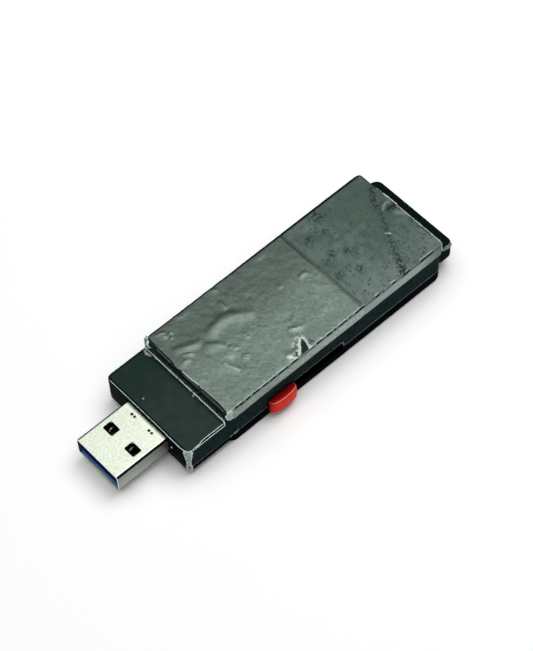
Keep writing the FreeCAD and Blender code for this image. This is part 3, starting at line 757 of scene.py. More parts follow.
def along(x, y, path):
    """How far each place lies to the left of a chain of straight runs, and where along it, from 0 to 1."""
    points = np.array(path)
    runs = points[1:] - points[:-1]
    starts = run_lengths(points)
    lengths = np.diff(starts)
    nearest = np.full(x.shape, np.inf)
    where = np.zeros(x.shape)
    for point, run, length, start in zip(points, runs, lengths, starts):
        dx, dy = x - point[0], y - point[1]
        t = np.clip((dx * run[0] + dy * run[1]) / length**2, 0, 1)
        away = np.hypot(dx - t * run[0], dy - t * run[1])
        side = np.where(run[0] * dy < run[1] * dx, -1, 1)
        closer = away < np.abs(nearest)
        nearest = np.where(closer, away * side, nearest)
        where = np.where(closer, (start + t * length) / starts[-1], where)
    return nearest, where


def fold_section(s, half_width, top, radius):
    """The film's cross section: side place and height at each length s from its middle, and its lean."""
    flat = half_width - radius
    over = np.abs(s) - flat
    angle = np.clip(over / radius, 0, math.pi / 2)
    drop = np.maximum(over - radius * math.pi / 2, 0)
    y = np.sign(s) * (np.minimum(np.abs(s), flat) + radius * np.sin(angle))
    z = top - radius * (1 - np.cos(angle)) - drop
    return y, z, np.sign(s) * np.sin(angle), np.cos(angle)


def inside(x, y, outline):
    """True for the places within a closed outline."""
    found = np.zeros(x.shape, bool)
    for (x0, y0), (x1, y1) in zip(outline, outline[1:] + outline[:1]):
        if y0 != y1:
            crossing = (y0 > y) != (y1 > y)
            found ^= crossing & (x < (x1 - x0) * (y - y0) / (y1 - y0) + x0)
    return found


def film_relief(x, s, settings):
    """Height of the film above its resting place, in millimetres."""
    line_x = settings.line_x / MM
    swell, crinkle, crease = (v / MM for v in (settings.swell, settings.crinkle, settings.crease))
    loose = smooth(x, line_x - 0.5, line_x + 1.5)
    pebbled = loose * smooth(PEBBLES_FRONT - x, 0, 5)
    pebbled *= smooth(PEBBLES_HALF - np.abs(s - PEBBLES_MIDDLE), 0, 4)
    slack = loose * rising(0.55, smooth(x, 2, 9))
    height = swell * ripple(x, s, spacing=4.5, seed=2.0) * rising(0.35, loose)
    height += 0.5 * swell * ripple(x, s, spacing=1.9, seed=5.0) * rising(0.15, loose)
    height += crinkle * ripple(x, s, spacing=0.8, seed=9.0) * rising(0.25, pebbled)
    run = (x * math.cos(FILM_GRAIN) + s * math.sin(FILM_GRAIN)) * 0.6
    cross = s * math.cos(FILM_GRAIN) - x * math.sin(FILM_GRAIN)
    creased = ripple(run, cross, spacing=1.2, seed=13.0) + 0.4 * ripple(run, cross, spacing=0.5, seed=17.0)
    height += slack * crease * creased
    for fold in WRINKLES:
        away, where = along(x, s, fold.path)
        reach = np.where(away > 0, fold.left, fold.right)
        height += WRINKLE_SCALE * fold.height * hump(away, reach) * np.sin(math.pi * where) ** 0.7
    for rise in BLISTERS:
        away = ((x - rise.x) / rise.length) ** 2 + ((s - rise.y) / rise.breadth) ** 2
        height += rise.height * hump(away, 1)
    groove = 0.05 * hump(x - line_x, 0.3)
    return np.clip(height - groove, *RELIEF_LIMITS)


def rubbed_haze(x, s):
    """What the rubbed film adds to the usual haze: clearer at the far back corner, with dark flecks."""
    clearing = hump(x + 26, 2.5) * hump(s + 7.8, 3)
    patches = smooth(ripple(x, s, spacing=2.6, seed=35.0), -0.2, 0.3)
    flecks = smooth(ripple(x, s, spacing=0.5, seed=31.0), 0.25, 0.5) * patches
    milkier = 0.025 * smooth(x, -19, -13) + 0.04 * smooth(s, 1.0, 9.0)
    return milkier - 0.06 * clearing - FLECK_SHADE * flecks


def loose_haze(s, height):
    """What the loose film adds to the usual haze: darker away from the button, and milkier where it stands
    high and darker in its hollows, partly its own haze and partly painted light and shade.
    """
    return 0.5 * np.clip(height, -0.1, 0.2) - 0.32 * smooth(-s, -3.0, 6.0)


def cross_line_shade(x, s, line_x):
    """What the line across the cover takes from the haze: a band in front of it, and its two edges."""
    flat = np.abs(s) < FAR_FOLD[0] + 0.05
    shade = LINE_SHADE * smooth(x, line_x, line_x + 0.1) * smooth(-x, -line_x - 0.7, -line_x - 0.3)
    for edge in (line_x - 0.2, line_x + 0.2):
        shade += LINE_EDGE_SHADE * hump(x - edge, 0.11) * flat
    return shade


def mark_shade(x, s):
    """What the specks, the scuff and the nicks beside the tear take from the haze."""
    mottled = smooth(ripple(x, s, spacing=0.55, seed=45.0), -0.15, 0.3)
    shade = np.zeros(x.shape)
    for speck in SPECKS:
        shade += SPECK_SHADE * mottled * hump(np.hypot(x - speck.x, s - speck.y), 2 * speck.radius)
    away, where = along(x, s, SCUFF_PATH)
    broken = smooth(ripple(x, s, spacing=0.5, seed=41.0), -0.15, 0.15)
    dark = 1.0 - 0.6 * smooth(where, 0.08, 0.2) + 0.25 * smooth(where, 0.7, 0.8)
    shade += dark * hump(away, 0.6) * broken
    for nick in TEAR_NICKS:
        shade += NICK_SHADE * hump(np.hypot(x - nick.x, s - nick.y), nick.radius)
    return shade


def film_haze(x, s, height, settings):
    """How milky the film is at each place, with painted light and shade on its folds: 0 clings to the
    cover, 0.5 is its usual haze and 1 is white.
    """
    line_x = settings.line_x / MM
    loose = smooth(x, line_x - 0.1, line_x + 0.1)
    uneven = ripple(x, s, spacing=5.0, seed=21.0) + ripple(x, s, spacing=1.4, seed=27.0)
    haze = USUAL_HAZE + 0.03 * uneven
    haze += loose * loose_haze(s, height) + (1 - loose) * rubbed_haze(x, s)
    haze -= cross_line_shade(x, s, line_x) + mark_shade(x, s)
    for haze_stroke in HAZE_STROKES:
        away, _ = along(x, s, haze_stroke.path)
        haze += haze_stroke.amount * hump(away, haze_stroke.breadth)
    haze -= haze * smooth(-s, *FAR_FOLD)
    streaks = ripple(x * 0.3, s, spacing=0.8, seed=51.0)
    hem = 0.687 - 0.0045 * x + 0.05 * streaks - 0.23 * smooth(-x, 20, 27)
    return np.where(s > HEM_START, hem, haze)


def fold_splits(x, s):
    """How far the fold on the button side is split at each place, and the painted highlight on its lip,
    from 0 to 1.
    """
    ease = 0.3
    away = s - SPLIT_LINE - 0.06 * ripple(x, s, spacing=1.5, seed=61.0)
    split = np.zeros(x.shape)
    for start, end in FOLD_SPLITS:
        split = np.maximum(split, smooth(x, start, start + ease) * smooth(-x, -end, ease - end))
    return split * hump(away, 0.22), split * hump(away + 0.35, 0.12)


def pulled_back(x, y, s, reach, settings):
    """How far the film's round corners and ragged ends keep each place from its full reach."""
    corner = settings.corner_radius / MM
    past = np.clip(np.abs(y) - (FILM_HI[1] - corner), 0, corner)
    inset = corner - np.sqrt(corner**2 - past**2)
    ragged = 0.16 + 0.16 * ripple(s * 0, s, spacing=1.7, seed=71.0)
    ragged += 0.08 * ripple(s * 0, s, spacing=0.5, seed=75.0)
    front = FILM_HI[0] - np.interp(y, *zip(*FRONT_EDGE)) + 0.3 * ragged
    back = 0.2 * np.clip(ragged, 0, 0.4)
    return smooth(np.abs(x), reach - 2.5, reach) * (inset + np.where(x < 0, back, front))


def sheet_faces(rows, columns, keep):
    """Both skins and the rim of a thin sheet laid out on a grid, without the cells that are not kept."""
    count = rows * columns
    faces = []
    for i, j in zip(*np.nonzero(keep)):
        a = int(i * columns + j)
        ring = (a, a + columns, a + columns + 1, a + 1)
        faces.append(ring)
        faces.append(tuple(v + count for v in reversed(ring)))
        beyond = ((i, j - 1), (i + 1, j), (i, j + 1), (i - 1, j))
        for k, (m, n) in enumerate(beyond):
            if not (0 <= m < rows - 1 and 0 <= n < columns - 1 and keep[m, n]):
                first, second = ring[k], ring[(k + 1) % 4]
                faces.append((second, first, first + count, second + count))
    return faces


def film_finish(name, settings, body, drawn, mottle, rough, ior):
    """Film over black plastic: painted haze, which on the loose film also holds painted light and shade,
    fine crinkles drawn out along the creases, broken gloss.
    """
    finish = Finish(name)
    stops = ((0.0, settings.bare), (USUAL_HAZE, body), (1.0, settings.milky))
    fine = finish.grain(0.3 * drawn, detail=5.0, stretch=drawn, turn=FILM_GRAIN)
    hazy = finish.ramp(finish.painted("haze"), stops)
    finish.colour(finish.blend(finish.span(fine, 0.0, mottle), hazy, settings.bare))
    finish.gloss(finish.grain(3), rough, 0.04)
    finish.bump(fine, 0.010)
    finish.set(IOR=ior, Specular_Tint=FILM_TINT)
    return finish.material


def tight_finish(settings):
    """Clear film drawn tight on the black nose, with painted dust."""
    finish = Finish("tight_film")
    broad = finish.grain(4)
    deep = tuple(0.85 * c for c in settings.nose)
    clear = finish.blend(finish.span(broad, 0.0, 1.0), settings.nose, deep)
    finish.colour(finish.blend(finish.painted("haze"), clear, settings.milky))
    finish.gloss(broad, 0.25, 0.05)
    finish.bump(finish.grain(0.5), 0.002)
    finish.set(Specular_IOR_Level=0.15, Specular_Tint=FILM_TINT)
    return finish.material


def case_finish(settings):
    """Black moulded plastic, with painted shade on the ledge, the front and the low walls, and a broken
    painted highlight along the parting line.
    """
    finish = Finish("case_plastic_moulded")
    grain = settings.grain / MM
    parting = settings.parting / MM
    behind = COVER_LO[0]
    everywhere = 1000
    flecked = finish.span(finish.grain(grain * 3), 0.0, 0.8)
    body = finish.blend(flecked, settings.plastic, settings.sheen)
    # Painted shade below the parting line, on the ledge behind the cover and on faces turned to the front.
    low = finish.across("Z", 1.0, 0.0, parting - 0.5, parting - 0.1)
    ledge = finish.across("X", 0.65, 0.0, behind - 0.2, behind - 0.1)
    front = finish.span(finish.facing("X"), 0.0, 0.8, 0.6, 0.9)
    for dark in (low, ledge, front):
        body = finish.blend(dark, body, settings.shadow)
    # A painted highlight along the parting line, broken up by noise.
    near = finish.patch((0, 0, parting), (everywhere, everywhere, 0.06))
    broken = finish.span(finish.grain(1.5), 0.2, 0.9)
    finish.colour(finish.blend(finish.work("MULTIPLY", near, broken), body, settings.painted_highlight_and_wear))
    finish.gloss(finish.grain(grain * 30), 0.43, 0.07)
    finish.bump(finish.grain(grain), 0.004)
    finish.set(Specular_IOR_Level=DULL)
    return finish.material


def crumple(bunch, length, place, settings):
    """Makes a strip of bunched film; place turns a length, a way across and a height into a spot."""
    count = round(length / BUNCH_STEP)
    last = BUNCH_ROW - 1
    dice = random.Random(bunch.seed)
    places = []
    haze = []
    for i in range(count + 1):
        share = i / count
        breadth = np.interp(share, np.linspace(0, 1, len(bunch.breadths)), bunch.breadths)
        breadth *= dice.uniform(0.8, 1.15)
        tooth = dice.random() < bunch.toothed
        for j in range(BUNCH_ROW):
            across = j / last - 0.5
            from_rim = min(j, last - j)
            height = bunch.lift * (dice.uniform(0.3, 1.0) if from_rim else 0.1)
            shake = dice.uniform(-0.04, 0.04)
            places.append(place(share * length, across * breadth + shake, height))
            pale = bunch.rims if from_rim < 2 else bunch.middle + dice.uniform(-bunch.spread, bunch.spread)
            if tooth and across > 0.1:
                pale = TOOTH_HAZE
            if bunch.hole and math.hypot(share * length - bunch.hole, across * breadth) < HOLE_RADIUS:
                pale = 0.0
            haze.append(pale)
    faces = []
    for i in range(count):
        for j in range(last):
            a = i * BUNCH_ROW + j
            faces.append((a, a + BUNCH_ROW, a + BUNCH_ROW + 1, a + 1))
    look = {"drawn": 1.0, "mottle": 0.2, "rough": 0.34, "ior": 1.5}
    finish = film_finish("bunched_film", settings, settings.haze, **look)
    piece = add_piece(bunch.name, places, faces, finish, "case", rounded=False)
    paint(piece, "haze", haze)
    piece.modifiers.new("thickness", "SOLIDIFY").thickness = BUNCH_THICKNESS * MM


def laid_along(chain, level):
    """The length of a chain of places from above, and a way to lay a strip along it at a level."""
    points = np.array(chain)
    lengths = run_lengths(points)
    ahead = 0.2

    def spot(reach):
        return np.array([np.interp(reach, lengths, points[:, k]) for k in range(2)])

    def place(reach, across, height):
        way = spot(reach + ahead) - spot(reach - ahead)
        way /= np.linalg.norm(way)
        x, y = spot(reach) + across * np.array((way[1], -way[0]))
        return x, min(y, BUNCH_SIDE), level + height

    return lengths[-1], place


def down_corner(hi, side, bearing, off):
    """A way to lay a strip over a round corner's edge and down its side, standing a little off it."""
    centre_x = hi[0] - CORNER_RADIUS
    centre_y = side * (hi[1] - CORNER_RADIUS)
    top = hi[2] + 0.1

    def place(reach, across, height):
        angle = math.radians(bearing) + across / CORNER_RADIUS
        turn = min(reach / CORNER_TURN, 1) * math.pi / 2
        out = CORNER_RADIUS - CORNER_EDGE + (CORNER_EDGE + off + height) * math.sin(turn)
        drop = CORNER_EDGE * (1 - math.cos(turn)) + max(reach - CORNER_TURN, 0)
        rise = (0.02 + height) * math.cos(turn) - drop
        return centre_x + out * math.cos(angle), centre_y + out * math.sin(angle), top + rise

    return place


def edge_lines(name, runs, material, body):
    """Thin uneven lines such as beads of film, each a radius and a chain of places, in millimetres."""
    step = 0.35
    curve = bpy.data.curves.new(name, "CURVE")
    curve.dimensions = "3D"
    curve.bevel_depth = MM
    curve.bevel_resolution = 2
    curve.use_fill_caps = True
    for number, (radius, points) in enumerate(runs):
        spline = curve.splines.new("POLY")
        chain = np.array(points, float)
        lengths = run_lengths(chain)
        places = np.arange(0, lengths[-1], step)
        spline.points.add(len(places) - 1)
        for point, place in zip(spline.points, places):
            centre = [np.interp(place, lengths, chain[:, k]) for k in range(3)]
            shake = [0.4 * radius * noise.noise((place, k, number)) for k in range(3)]
            point.co = (*((c + d) * MM for c, d in zip(centre, shake)), 1)
            point.radius = radius * (1 + 0.6 * noise.noise((place / 0.8, 5.0, number)))
    rope = bpy.data.objects.new(name, curve)
    bpy.context.scene.collection.objects.link(rope)
    mesh = bpy.data.meshes.new_from_object(rope)
    bpy.data.objects.remove(rope)
    return set_out(name, mesh, material, True, body)


class DRIVE_OT_case(bpy.types.Operator):
    """Gives the shells and the cover their moulded finish, with painted highlights along the edges and a
    few pale marks
    """

    bl_idname = "drive.case"
    bl_label = "Case"

    def execute(self, context):
        settings = context.scene.drive_case
        plastic = case_finish(settings)
        for node in ("lower_shell", "upper_shell"):
            dress(node, plastic)
        cover = grained(
            "cover_plastic_gloss", settings.plastic, settings.sheen,
            spacing=settings.grain / MM, rough=0.28, depth=0.002, Specular_IOR_Level=0.08,
        )
        dress("top_cover", cover)
        side = SHELL_HI[1] + 0.01
        parting = settings.parting / MM
        # Each line has a radius, and its places on the button side as length and height.
        lines = (
            # Painted highlight along the slot's upper edge.
            (0.035, ((11.6, SLOT_TOP), (-1.4, SLOT_TOP))),
            # A pale curve round the slot's back end.
            (0.08, ((-0.5, 4.9), (-1.3, 4.6), (-1.5, 3.9), (-1.2, 3.2))),
            # Painted highlight along the parting line.
            (0.045, ((-1.8, parting), (-26.6, parting))),
            # A pale scuff by the parting line near the front.
            (0.13, ((28.4, parting - 0.1), (27.4, parting - 0.05))),
            (0.17, ((27.4, parting), (26.2, parting + 0.15), (25.9, parting + 0.5))),
            # Painted highlights along the parting line.
            (0.025, ((37.4, parting), (33.5, parting))),
            (0.03, ((25.3, parting), (19.6, parting))),
        )
        runs = [(radius, [(x, side, z) for x, z in line]) for radius, line in lines]
        pale = grained("pale_edge_highlights", settings.painted_highlight_and_wear, settings.sheen, spacing=0.4, rough=0.4, depth=0.004)
        edge_lines("case_edge_highlights", runs, pale, "case")
        return {"FINISHED"}


class DRIVE_OT_cover_film(bpy.types.Operator):
    """Lays the creased and torn film over the cover"""

    bl_idname = "drive.cover_film"
    bl_label = "Cover film"

    def execute(self, context):
        settings = context.scene.drive_film
        radius = settings.fold_radius / MM
        half = FILM_HI[1]
        flat = half - radius
        turn = flat + radius * math.pi / 2
        back = COVER_LO[0] + BACK_INSET
        x, s = self.grid(settings, flat, turn, back)
        y, z, lean_y, lean_z = fold_section(s, half, FILM_HI[2], radius)
        y -= settings.bulge / MM * smooth(-s, flat - 0.4, flat + 0.4) * smooth(-x, -24, 26)
        reach = np.where(x < 0, -back, FILM_HI[0])
        pulled = pulled_back(x, y, s, reach, settings)
        x = x - np.sign(x) * pulled
        over = np.clip(np.maximum(FILM_LO[0] - x, x - FILM_HI[0]), 0, radius)
        z -= lean_z * (radius - np.sqrt(radius**2 - over**2))
        for tear_x, tear_s in TEAR:
            near = np.hypot(x - tear_x, s - tear_s)
            corner = np.unravel_index(np.argmin(near), near.shape)
            x[corner], s[corner] = tear_x, tear_s
        height = film_relief(x, s, settings)
        splits, lip_highlights = fold_splits(x, s)
        # The split fold's lips get a painted highlight.
        haze = film_haze(x, s, height, settings) + 0.2 * lip_highlights
        ends = smooth(np.abs(x) + pulled, reach - 0.25, reach - 0.05) * (np.abs(s) < turn)
        haze += ends * np.where((x < 0) & (s < CLINGING_SIDE), -0.6, 0.3)
        outer = np.stack((x, y + lean_y * height, z + lean_z * height), -1)
        sunk = settings.thickness / MM * 0.9
        inner = np.stack((x, y - lean_y * sunk, z - lean_z * sunk), -1)
        middle_x, middle_s = ((v[:-1, :-1] + v[1:, 1:]) / 2 for v in (x, s))
        keep = ~inside(middle_x, middle_s, TEAR) & (splits[:-1, :-1] + splits[1:, 1:] < 1)
        places = np.stack((outer, inner)).reshape(-1, 3)
        faces = sheet_faces(*x.shape, keep)
        look = {"drawn": 1.6, "mottle": 0.46, "rough": 0.30, "ior": 1.68}
        loose = film_finish("loose_film", settings, settings.haze, **look)
        piece = add_piece("cover_film_sheet", places, faces, loose, "case")
        paint(piece, "haze", np.tile(np.clip(haze, 0, 1).ravel(), 2))
        self.finishes(piece, settings, flat, back)
        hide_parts("cover_film")
        self.edges(settings)
        return {"FINISHED"}

    def grid(self, settings, flat, turn, back):
        """Places along the drive and across the film, closer together at the cross line and the folds."""
        step = settings.step / MM
        line_x = settings.line_x / MM
        hem = turn + FILM_HI[2] - settings.fold_radius / MM - FILM_LO[2]
        across = stepped(-hem, ((-turn, 0.35), (-flat, 0.12), (flat - 0.1, step), (turn, 0.08), (hem, 0.3)))
        lengthwise = stepped(back, ((line_x - 0.5, step), (line_x + 0.5, 0.08), (FILM_HI[0], step)))
        return np.meshgrid(lengthwise, across, indexing="ij")

    def finishes(self, piece, settings, flat, back):
        """Rubbed film behind the cross line, and clinging film on the far side and at its back end."""
        look = {"drawn": 1.0, "mottle": 0.42, "rough": 0.5, "ior": 1.38}
        rubbed_and_highlight = film_finish("rubbed_film", settings, settings.matte, **look)
        clinging = grained(
            "clinging_film", settings.bare, settings.nose, spacing=0.4, rough=0.35, depth=0.004,
            Specular_IOR_Level=0.05,
        )
        piece.data.materials.append(rubbed_and_highlight)
        piece.data.materials.append(clinging)
        for face in piece.data.polygons:
            end = face.center.x < (back + 0.2) * MM and face.center.y < CLINGING_END * MM
            far = end or face.center.y < -(flat + 0.1) * MM
            face.material_index = 2 if far else int(face.center.x < settings.line_x)

    def edges(self, settings):
        """White beads along the film's ends, and grey lines of painted highlight on the cover's front edge.
        """
        back = COVER_LO[0] + 0.02
        front = COVER_HI[0] - 0.27
        top = COVER_HI[2]
        raised = top + 0.08
        beads = (
            (0.028, ((back, -7.5, top - 0.15), (back, -5.3, top - 0.1))),
            (
                0.09,
                ((back, -5.3, top - 0.1), (back - 0.08, -3.4, top - 0.05), (back - 0.06, -1.4, top - 0.05)),
            ),
            (0.045, ((back, -1.4, top - 0.1), (back, 10.7, top - 0.1))),
            (0.1, ((back, 10.6, top - 0.05), (-28.37, 11.66, top - 0.2), (-28.37, 11.7, top - 2.4))),
            (0.065, ((28.23, -1.2, raised), (28.2, 1.2, raised), (27.95, 3.4, raised))),
        )
        milky = grained("film_bead", settings.milky, BEAD_SHADE, spacing=0.35, rough=0.34, depth=0.01)
        edge_lines("cover_film_edges", beads, milky, "case")
        # Painted highlight along the cover's front edge.
        front_highlights = (
            (0.06, ((front, -8.4, top - 0.02), (front + 0.1, -4.2, top - 0.04))),
            (0.05, ((front + 0.1, -0.6, top - 0.04), (front, 4.0, top - 0.02))),
            (0.06, ((front, 4.6, top - 0.02), (front, 11.2, top - 0.02))),
        )
        grey = grained("cover_front_highlight", *FRONT_HIGHLIGHT_TONES, spacing=0.35, rough=0.4, depth=0.01)
        edge_lines("cover_front_highlight_lines", front_highlights, grey, "case")


class DRIVE_OT_bunches(bpy.types.Operator):
    """Crumples the white rim of the tear, the bunches at the film's corners and the shred on the ledge"""

    bl_idname = "drive.bunches"
    bl_label = "Bunched film"

    def execute(self, context):
        settings = context.scene.drive_film
        for path, rim in TEAR_RIMS:
            crumple(rim, *laid_along(path, FILM_HI[2]), settings)
        crumple(COVER_CORNER, 2.5, down_corner(COVER_HI, side=1, bearing=78, off=0.03), settings)
        crumple(COVER_FLAP, 1.9, down_corner(COVER_HI, side=-1, bearing=-28, off=0.36), settings)
        crumple(NOSE_CORNER, 6.9, down_corner(SHELL_HI, side=1, bearing=45, off=0.03), settings)
        crumple(SHRED, *laid_along(SHRED_PATH, LEDGE_TOP), settings)
        return {"FINISHED"}


class DRIVE_OT_nose_film(bpy.types.Operator):
    """Lays the tight film on the nose, with its beaded edges, white for their highlights"""

    bl_idname = "drive.nose_film"
    bl_label = "Nose film"

    def execute(self, context):
        settings = context.scene.drive_film
        step = settings.step / MM
        across = stepped(NOSE_LO[1], ((NOSE_HI[1], step),))
        lengthwise = stepped(NOSE_LO[0], ((NOSE_HI[0], step),))
        x, y = np.meshgrid(lengthwise, across, indexing="ij")
        corner = settings.corner_radius / MM
        past_x = np.clip(x - (NOSE_HI[0] - corner), 0, corner)
        past_y = np.clip(np.abs(y) - (NOSE_HI[1] - corner), 0, corner)
        longer = np.maximum(past_x, past_y)
        diagonal = np.maximum(np.hypot(past_x, past_y), 1e-9)
        shrink = np.where(longer > 0, longer / diagonal, 1)
        x = x - past_x * (1 - shrink)
        y = y - np.sign(y) * past_y * (1 - shrink)
        uneven = 0.012 * ripple(x, y, spacing=3.0, seed=81.0) + 0.004 * ripple(x, y, spacing=0.8, seed=85.0)
        outer = np.stack((x, y, NOSE_HI[2] + uneven), -1)
        inner = np.stack((x, y, np.full(x.shape, NOSE_LO[2] + 0.01)), -1)
        places = np.stack((outer, inner)).reshape(-1, 3)
        faces = sheet_faces(*x.shape, np.ones((len(lengthwise) - 1, len(across) - 1), bool))
        piece = add_piece("nose_film_sheet", places, faces, tight_finish(settings), "case")
        paint(piece, "haze", np.tile(self.haze(x, y).ravel(), 2))
        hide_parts("nose_film")
        self.edges()
        return {"FINISHED"}

    def haze(self, x, y):
        """Milky places on the nose: a faint veil, the dust and the mark at its foot."""
        haze = 0.008 * ripple(x, y, spacing=2.0, seed=91.0) + 0.012 * smooth(y, -9, 3)
        for grain in DUST:
            haze += hump(np.hypot(x - grain.x, y - grain.y), grain.radius)
        away, where = along(x, y, NOSE_MARK.path)
        reach = NOSE_MARK.breadth * (0.4 + np.sin(math.pi * where))
        haze += NOSE_MARK.amount * (1 - smooth(np.abs(away) / reach, 0.7, 1.1))
        return np.clip(haze, 0, 1)

    def edges(self):
        """White beads round the film on the nose, painted white for their highlights, and a painted
        highlight on the nose's front face beside the plug.
        """
        top = NOSE_HI[2]
        low = top - 0.1
        foot_x = COVER_HI[0] + 0.12
        front_x = SHELL_HI[0] - 0.15
        side_y = SHELL_HI[1] - 0.06
        beads = (
            (0.15, ((foot_x, -11.9, top), (foot_x, 11.2, top), (foot_x + 0.5, 11.9, top))),
            # A painted highlight on the nose's front face beside the plug.
            (0.17, ((SHELL_HI[0], 7.1, 5.2), (SHELL_HI[0], 7.5, 5.6))),
            (0.06, ((29.3, 11.5, top), (34.6, 11.45, top), (35.4, 11.7, top), (37.6, 11.8, top))),
            (0.05, ((29.2, side_y, low), (37.4, side_y, low))),
            (0.045, ((front_x, 5.6, low), (front_x, -11, low))),
            (0.06, ((front_x + 0.05, 5.6, low), (front_x + 0.08, 9.7, low), (38.4, 11.2, low))),
        )
        milky = grained("nose_film_bead", *NOSE_BEAD_TONES, spacing=0.35, rough=0.34, depth=0.01)
        edge_lines("nose_film_edges", beads, milky, "case")


class DRIVE_OT_button(bpy.types.Operator):
    """Gives the slide button its red plastic"""

    bl_idname = "drive.button"
    bl_label = "Slide button"

    def execute(self, context):
        settings = context.scene.drive_button
        finish = Finish("button_red_moulded")
        wall = SHELL_HI[1]
        # Colour by how the surface faces: a red face, a painted highlight on the edge and a top darkened as
        # painted shade.
        stops = (
            (0.0, settings.red), (0.66, settings.red), (0.76, settings.rubbed_and_highlight), (0.84, settings.deep_red),
        )
        shaded = finish.across("Y", 0.95, 0.0, wall + 0.2, wall + 1.6)
        body = finish.blend(shaded, finish.ramp(finish.facing("Z"), stops), settings.shade)
        fine = finish.grain(0.25)
        finish.colour(finish.blend(finish.span(fine, 0.0, 0.25), body, settings.deep_red))
        finish.gloss(finish.grain(2), 0.30, 0.06)
        finish.bump(fine, 0.004)
        finish.set(Specular_IOR_Level=0.04)
        dress("slide_button", finish.material)
        return {"FINISHED"}


class DRIVE_OT_plug(bpy.types.Operator):
    """Gives the plug's shell, insulator and contacts their finishes"""

    bl_idname = "drive.plug"
    bl_label = "Plug"

    def execute(self, context):
        settings = context.scene.drive_plug
        dress("plug_shell", self.steel(settings))
        dress("plug_insulator", self.insulator(settings))
        gold = self.contact(settings)
        for node in ("plug_front_contacts", "plug_rear_contacts"):
            dress(node, gold)
        return {"FINISHED"}

    def steel(self, settings):
        """Plated sheet: mottled top and sides, with painted light and shade: darker sides, dark reflections
        along its bends, shade in its windows and on its cut front edge, light beside the nose and a white
        highlight on its front edge.
        """
        finish = Finish("plug_steel_plated")
        lo, hi = box_mm("plug_shell")
        far, top, mouth = lo[1], hi[2], SHELL_HI[0]
        black, white = (0, 0, 0), (1, 1, 1)
        fine = finish.grain(0.35, detail=2.0)
        ahead = finish.facing("X")
        upright = finish.work("ABSOLUTE", finish.facing("Z"))
        roof = finish.blend(finish.span(fine, 0.0, 1.0), settings.steel, settings.dull_steel)
        # Painted light on the top beside the nose, where the nose would shade it.
        nose_light = finish.across("X", 1.0, 0.0, mouth + 0.2, mouth + 1.1)
        roof = finish.blend(nose_light, roof, settings.lit_plating)
        # The sides: a darker copy of the steel as painted shade, lighter towards the bottom.
        low = finish.across("Z", 0.0, 0.45, top - 1.2, top - 3.8)
        sides = finish.blend(low, settings.side, settings.dull_steel)
        body = finish.blend(finish.span(upright, 1.0, 0.0, 0.02, 0.1), roof, sides)
        # Painted dark reflections along the bends, and below along the far top edge.
        stops = ((0.0, black), (0.08, black), (0.2, white), (0.92, white), (0.99, black))
        bends = finish.work("MULTIPLY", finish.ramp(upright, stops), finish.span(ahead, 1.0, 0.0, 0.1, 0.3))
        body = finish.blend(bends, body, settings.bend)
        margin = finish.across("Y", 1.0, 0.0, far + 0.2, far + 0.4)
        body = finish.blend(margin, body, settings.bend)
        # The cut front edge: painted navy shade above, the lip's blue-grey below.
        above = finish.across("Z", 0.0, 1.0, top - 4.2, top - 3.8)
        cut = finish.blend(above, settings.lip, settings.navy)
        body = finish.blend(finish.span(ahead, 0.0, 1.0, 0.85, 0.95), body, cut)
        # Painted shade in the windows.
        for x, y in WINDOWS:
            window = finish.patch((x, y, top), (*WINDOW_REACH, 0.4), WINDOW_CORNER)
            body = finish.blend(window, body, settings.bend)
        # Painted highlight on the front edge, white and not metal.
        past_bend = finish.span(ahead, 0.0, 1.0, 0.3, 0.5)
        rubbed_and_highlight = finish.work("MULTIPLY", past_bend, finish.span(ahead, 1.0, 0.0, 0.8, 0.9))
        body = finish.blend(rubbed_and_highlight, body, settings.rubbed_and_highlight)
        for x, y in MARKS:
            body = finish.blend(finish.spot((x, y, top), MARK_RADIUS), body, settings.bend)
        finish.colour(body)
        finish.gloss(finish.grain(2.5), 0.38, 0.06)
        finish.bump(fine, 0.004)
        finish.link(finish.span(rubbed_and_highlight, 1.0, 0.0, 0.0, 1.0), finish.shader.inputs["Metallic"])
        return finish.material

    def insulator(self, settings):
        """Blue at the mouth, with painted shade: navy under the roof and nearly black deep inside."""
        finish = Finish("plug_blue_moulded")
        tip, _, top = box_mm("plug_insulator")[1]
        roof = finish.across("Z", 0.0, 1.0, top - 3.6, top - 2.6)
        mouth = finish.across("X", 0.0, 1.0, tip - 1.6, tip - 0.6)
        face = finish.blend(roof, settings.blue, settings.navy)
        fine = finish.grain(0.2)
        grainy = finish.blend(finish.span(fine, 0.0, 0.3), face, settings.navy)
        finish.colour(finish.blend(mouth, settings.inside, grainy))
        finish.gloss(fine, 0.45, 0.05)
        finish.bump(fine, 0.003)
        finish.set(Specular_IOR_Level=DULL)
        return finish.material

    def contact(self, settings):
        """Gold plating painted dark as shade, with its gold left as a glint in one spot on each side under
        the windows.
        """
        finish = Finish("contact_gold_plated")
        top = box_mm("plug_rear_contacts")[1][2]
        body = settings.shaded_contact
        for x, y in GOLD_SPOTS:
            rubbed_and_highlight = finish.patch((x, y, top), (*GOLD_REACH, 0.3))
            body = finish.blend(rubbed_and_highlight, body, settings.gold)
        finish.colour(body)
        fine = finish.grain(0.15)
        finish.gloss(fine, 0.4, 0.1)
        finish.bump(fine, 0.003)
        finish.set(Metallic=1.0)
        return finish.material


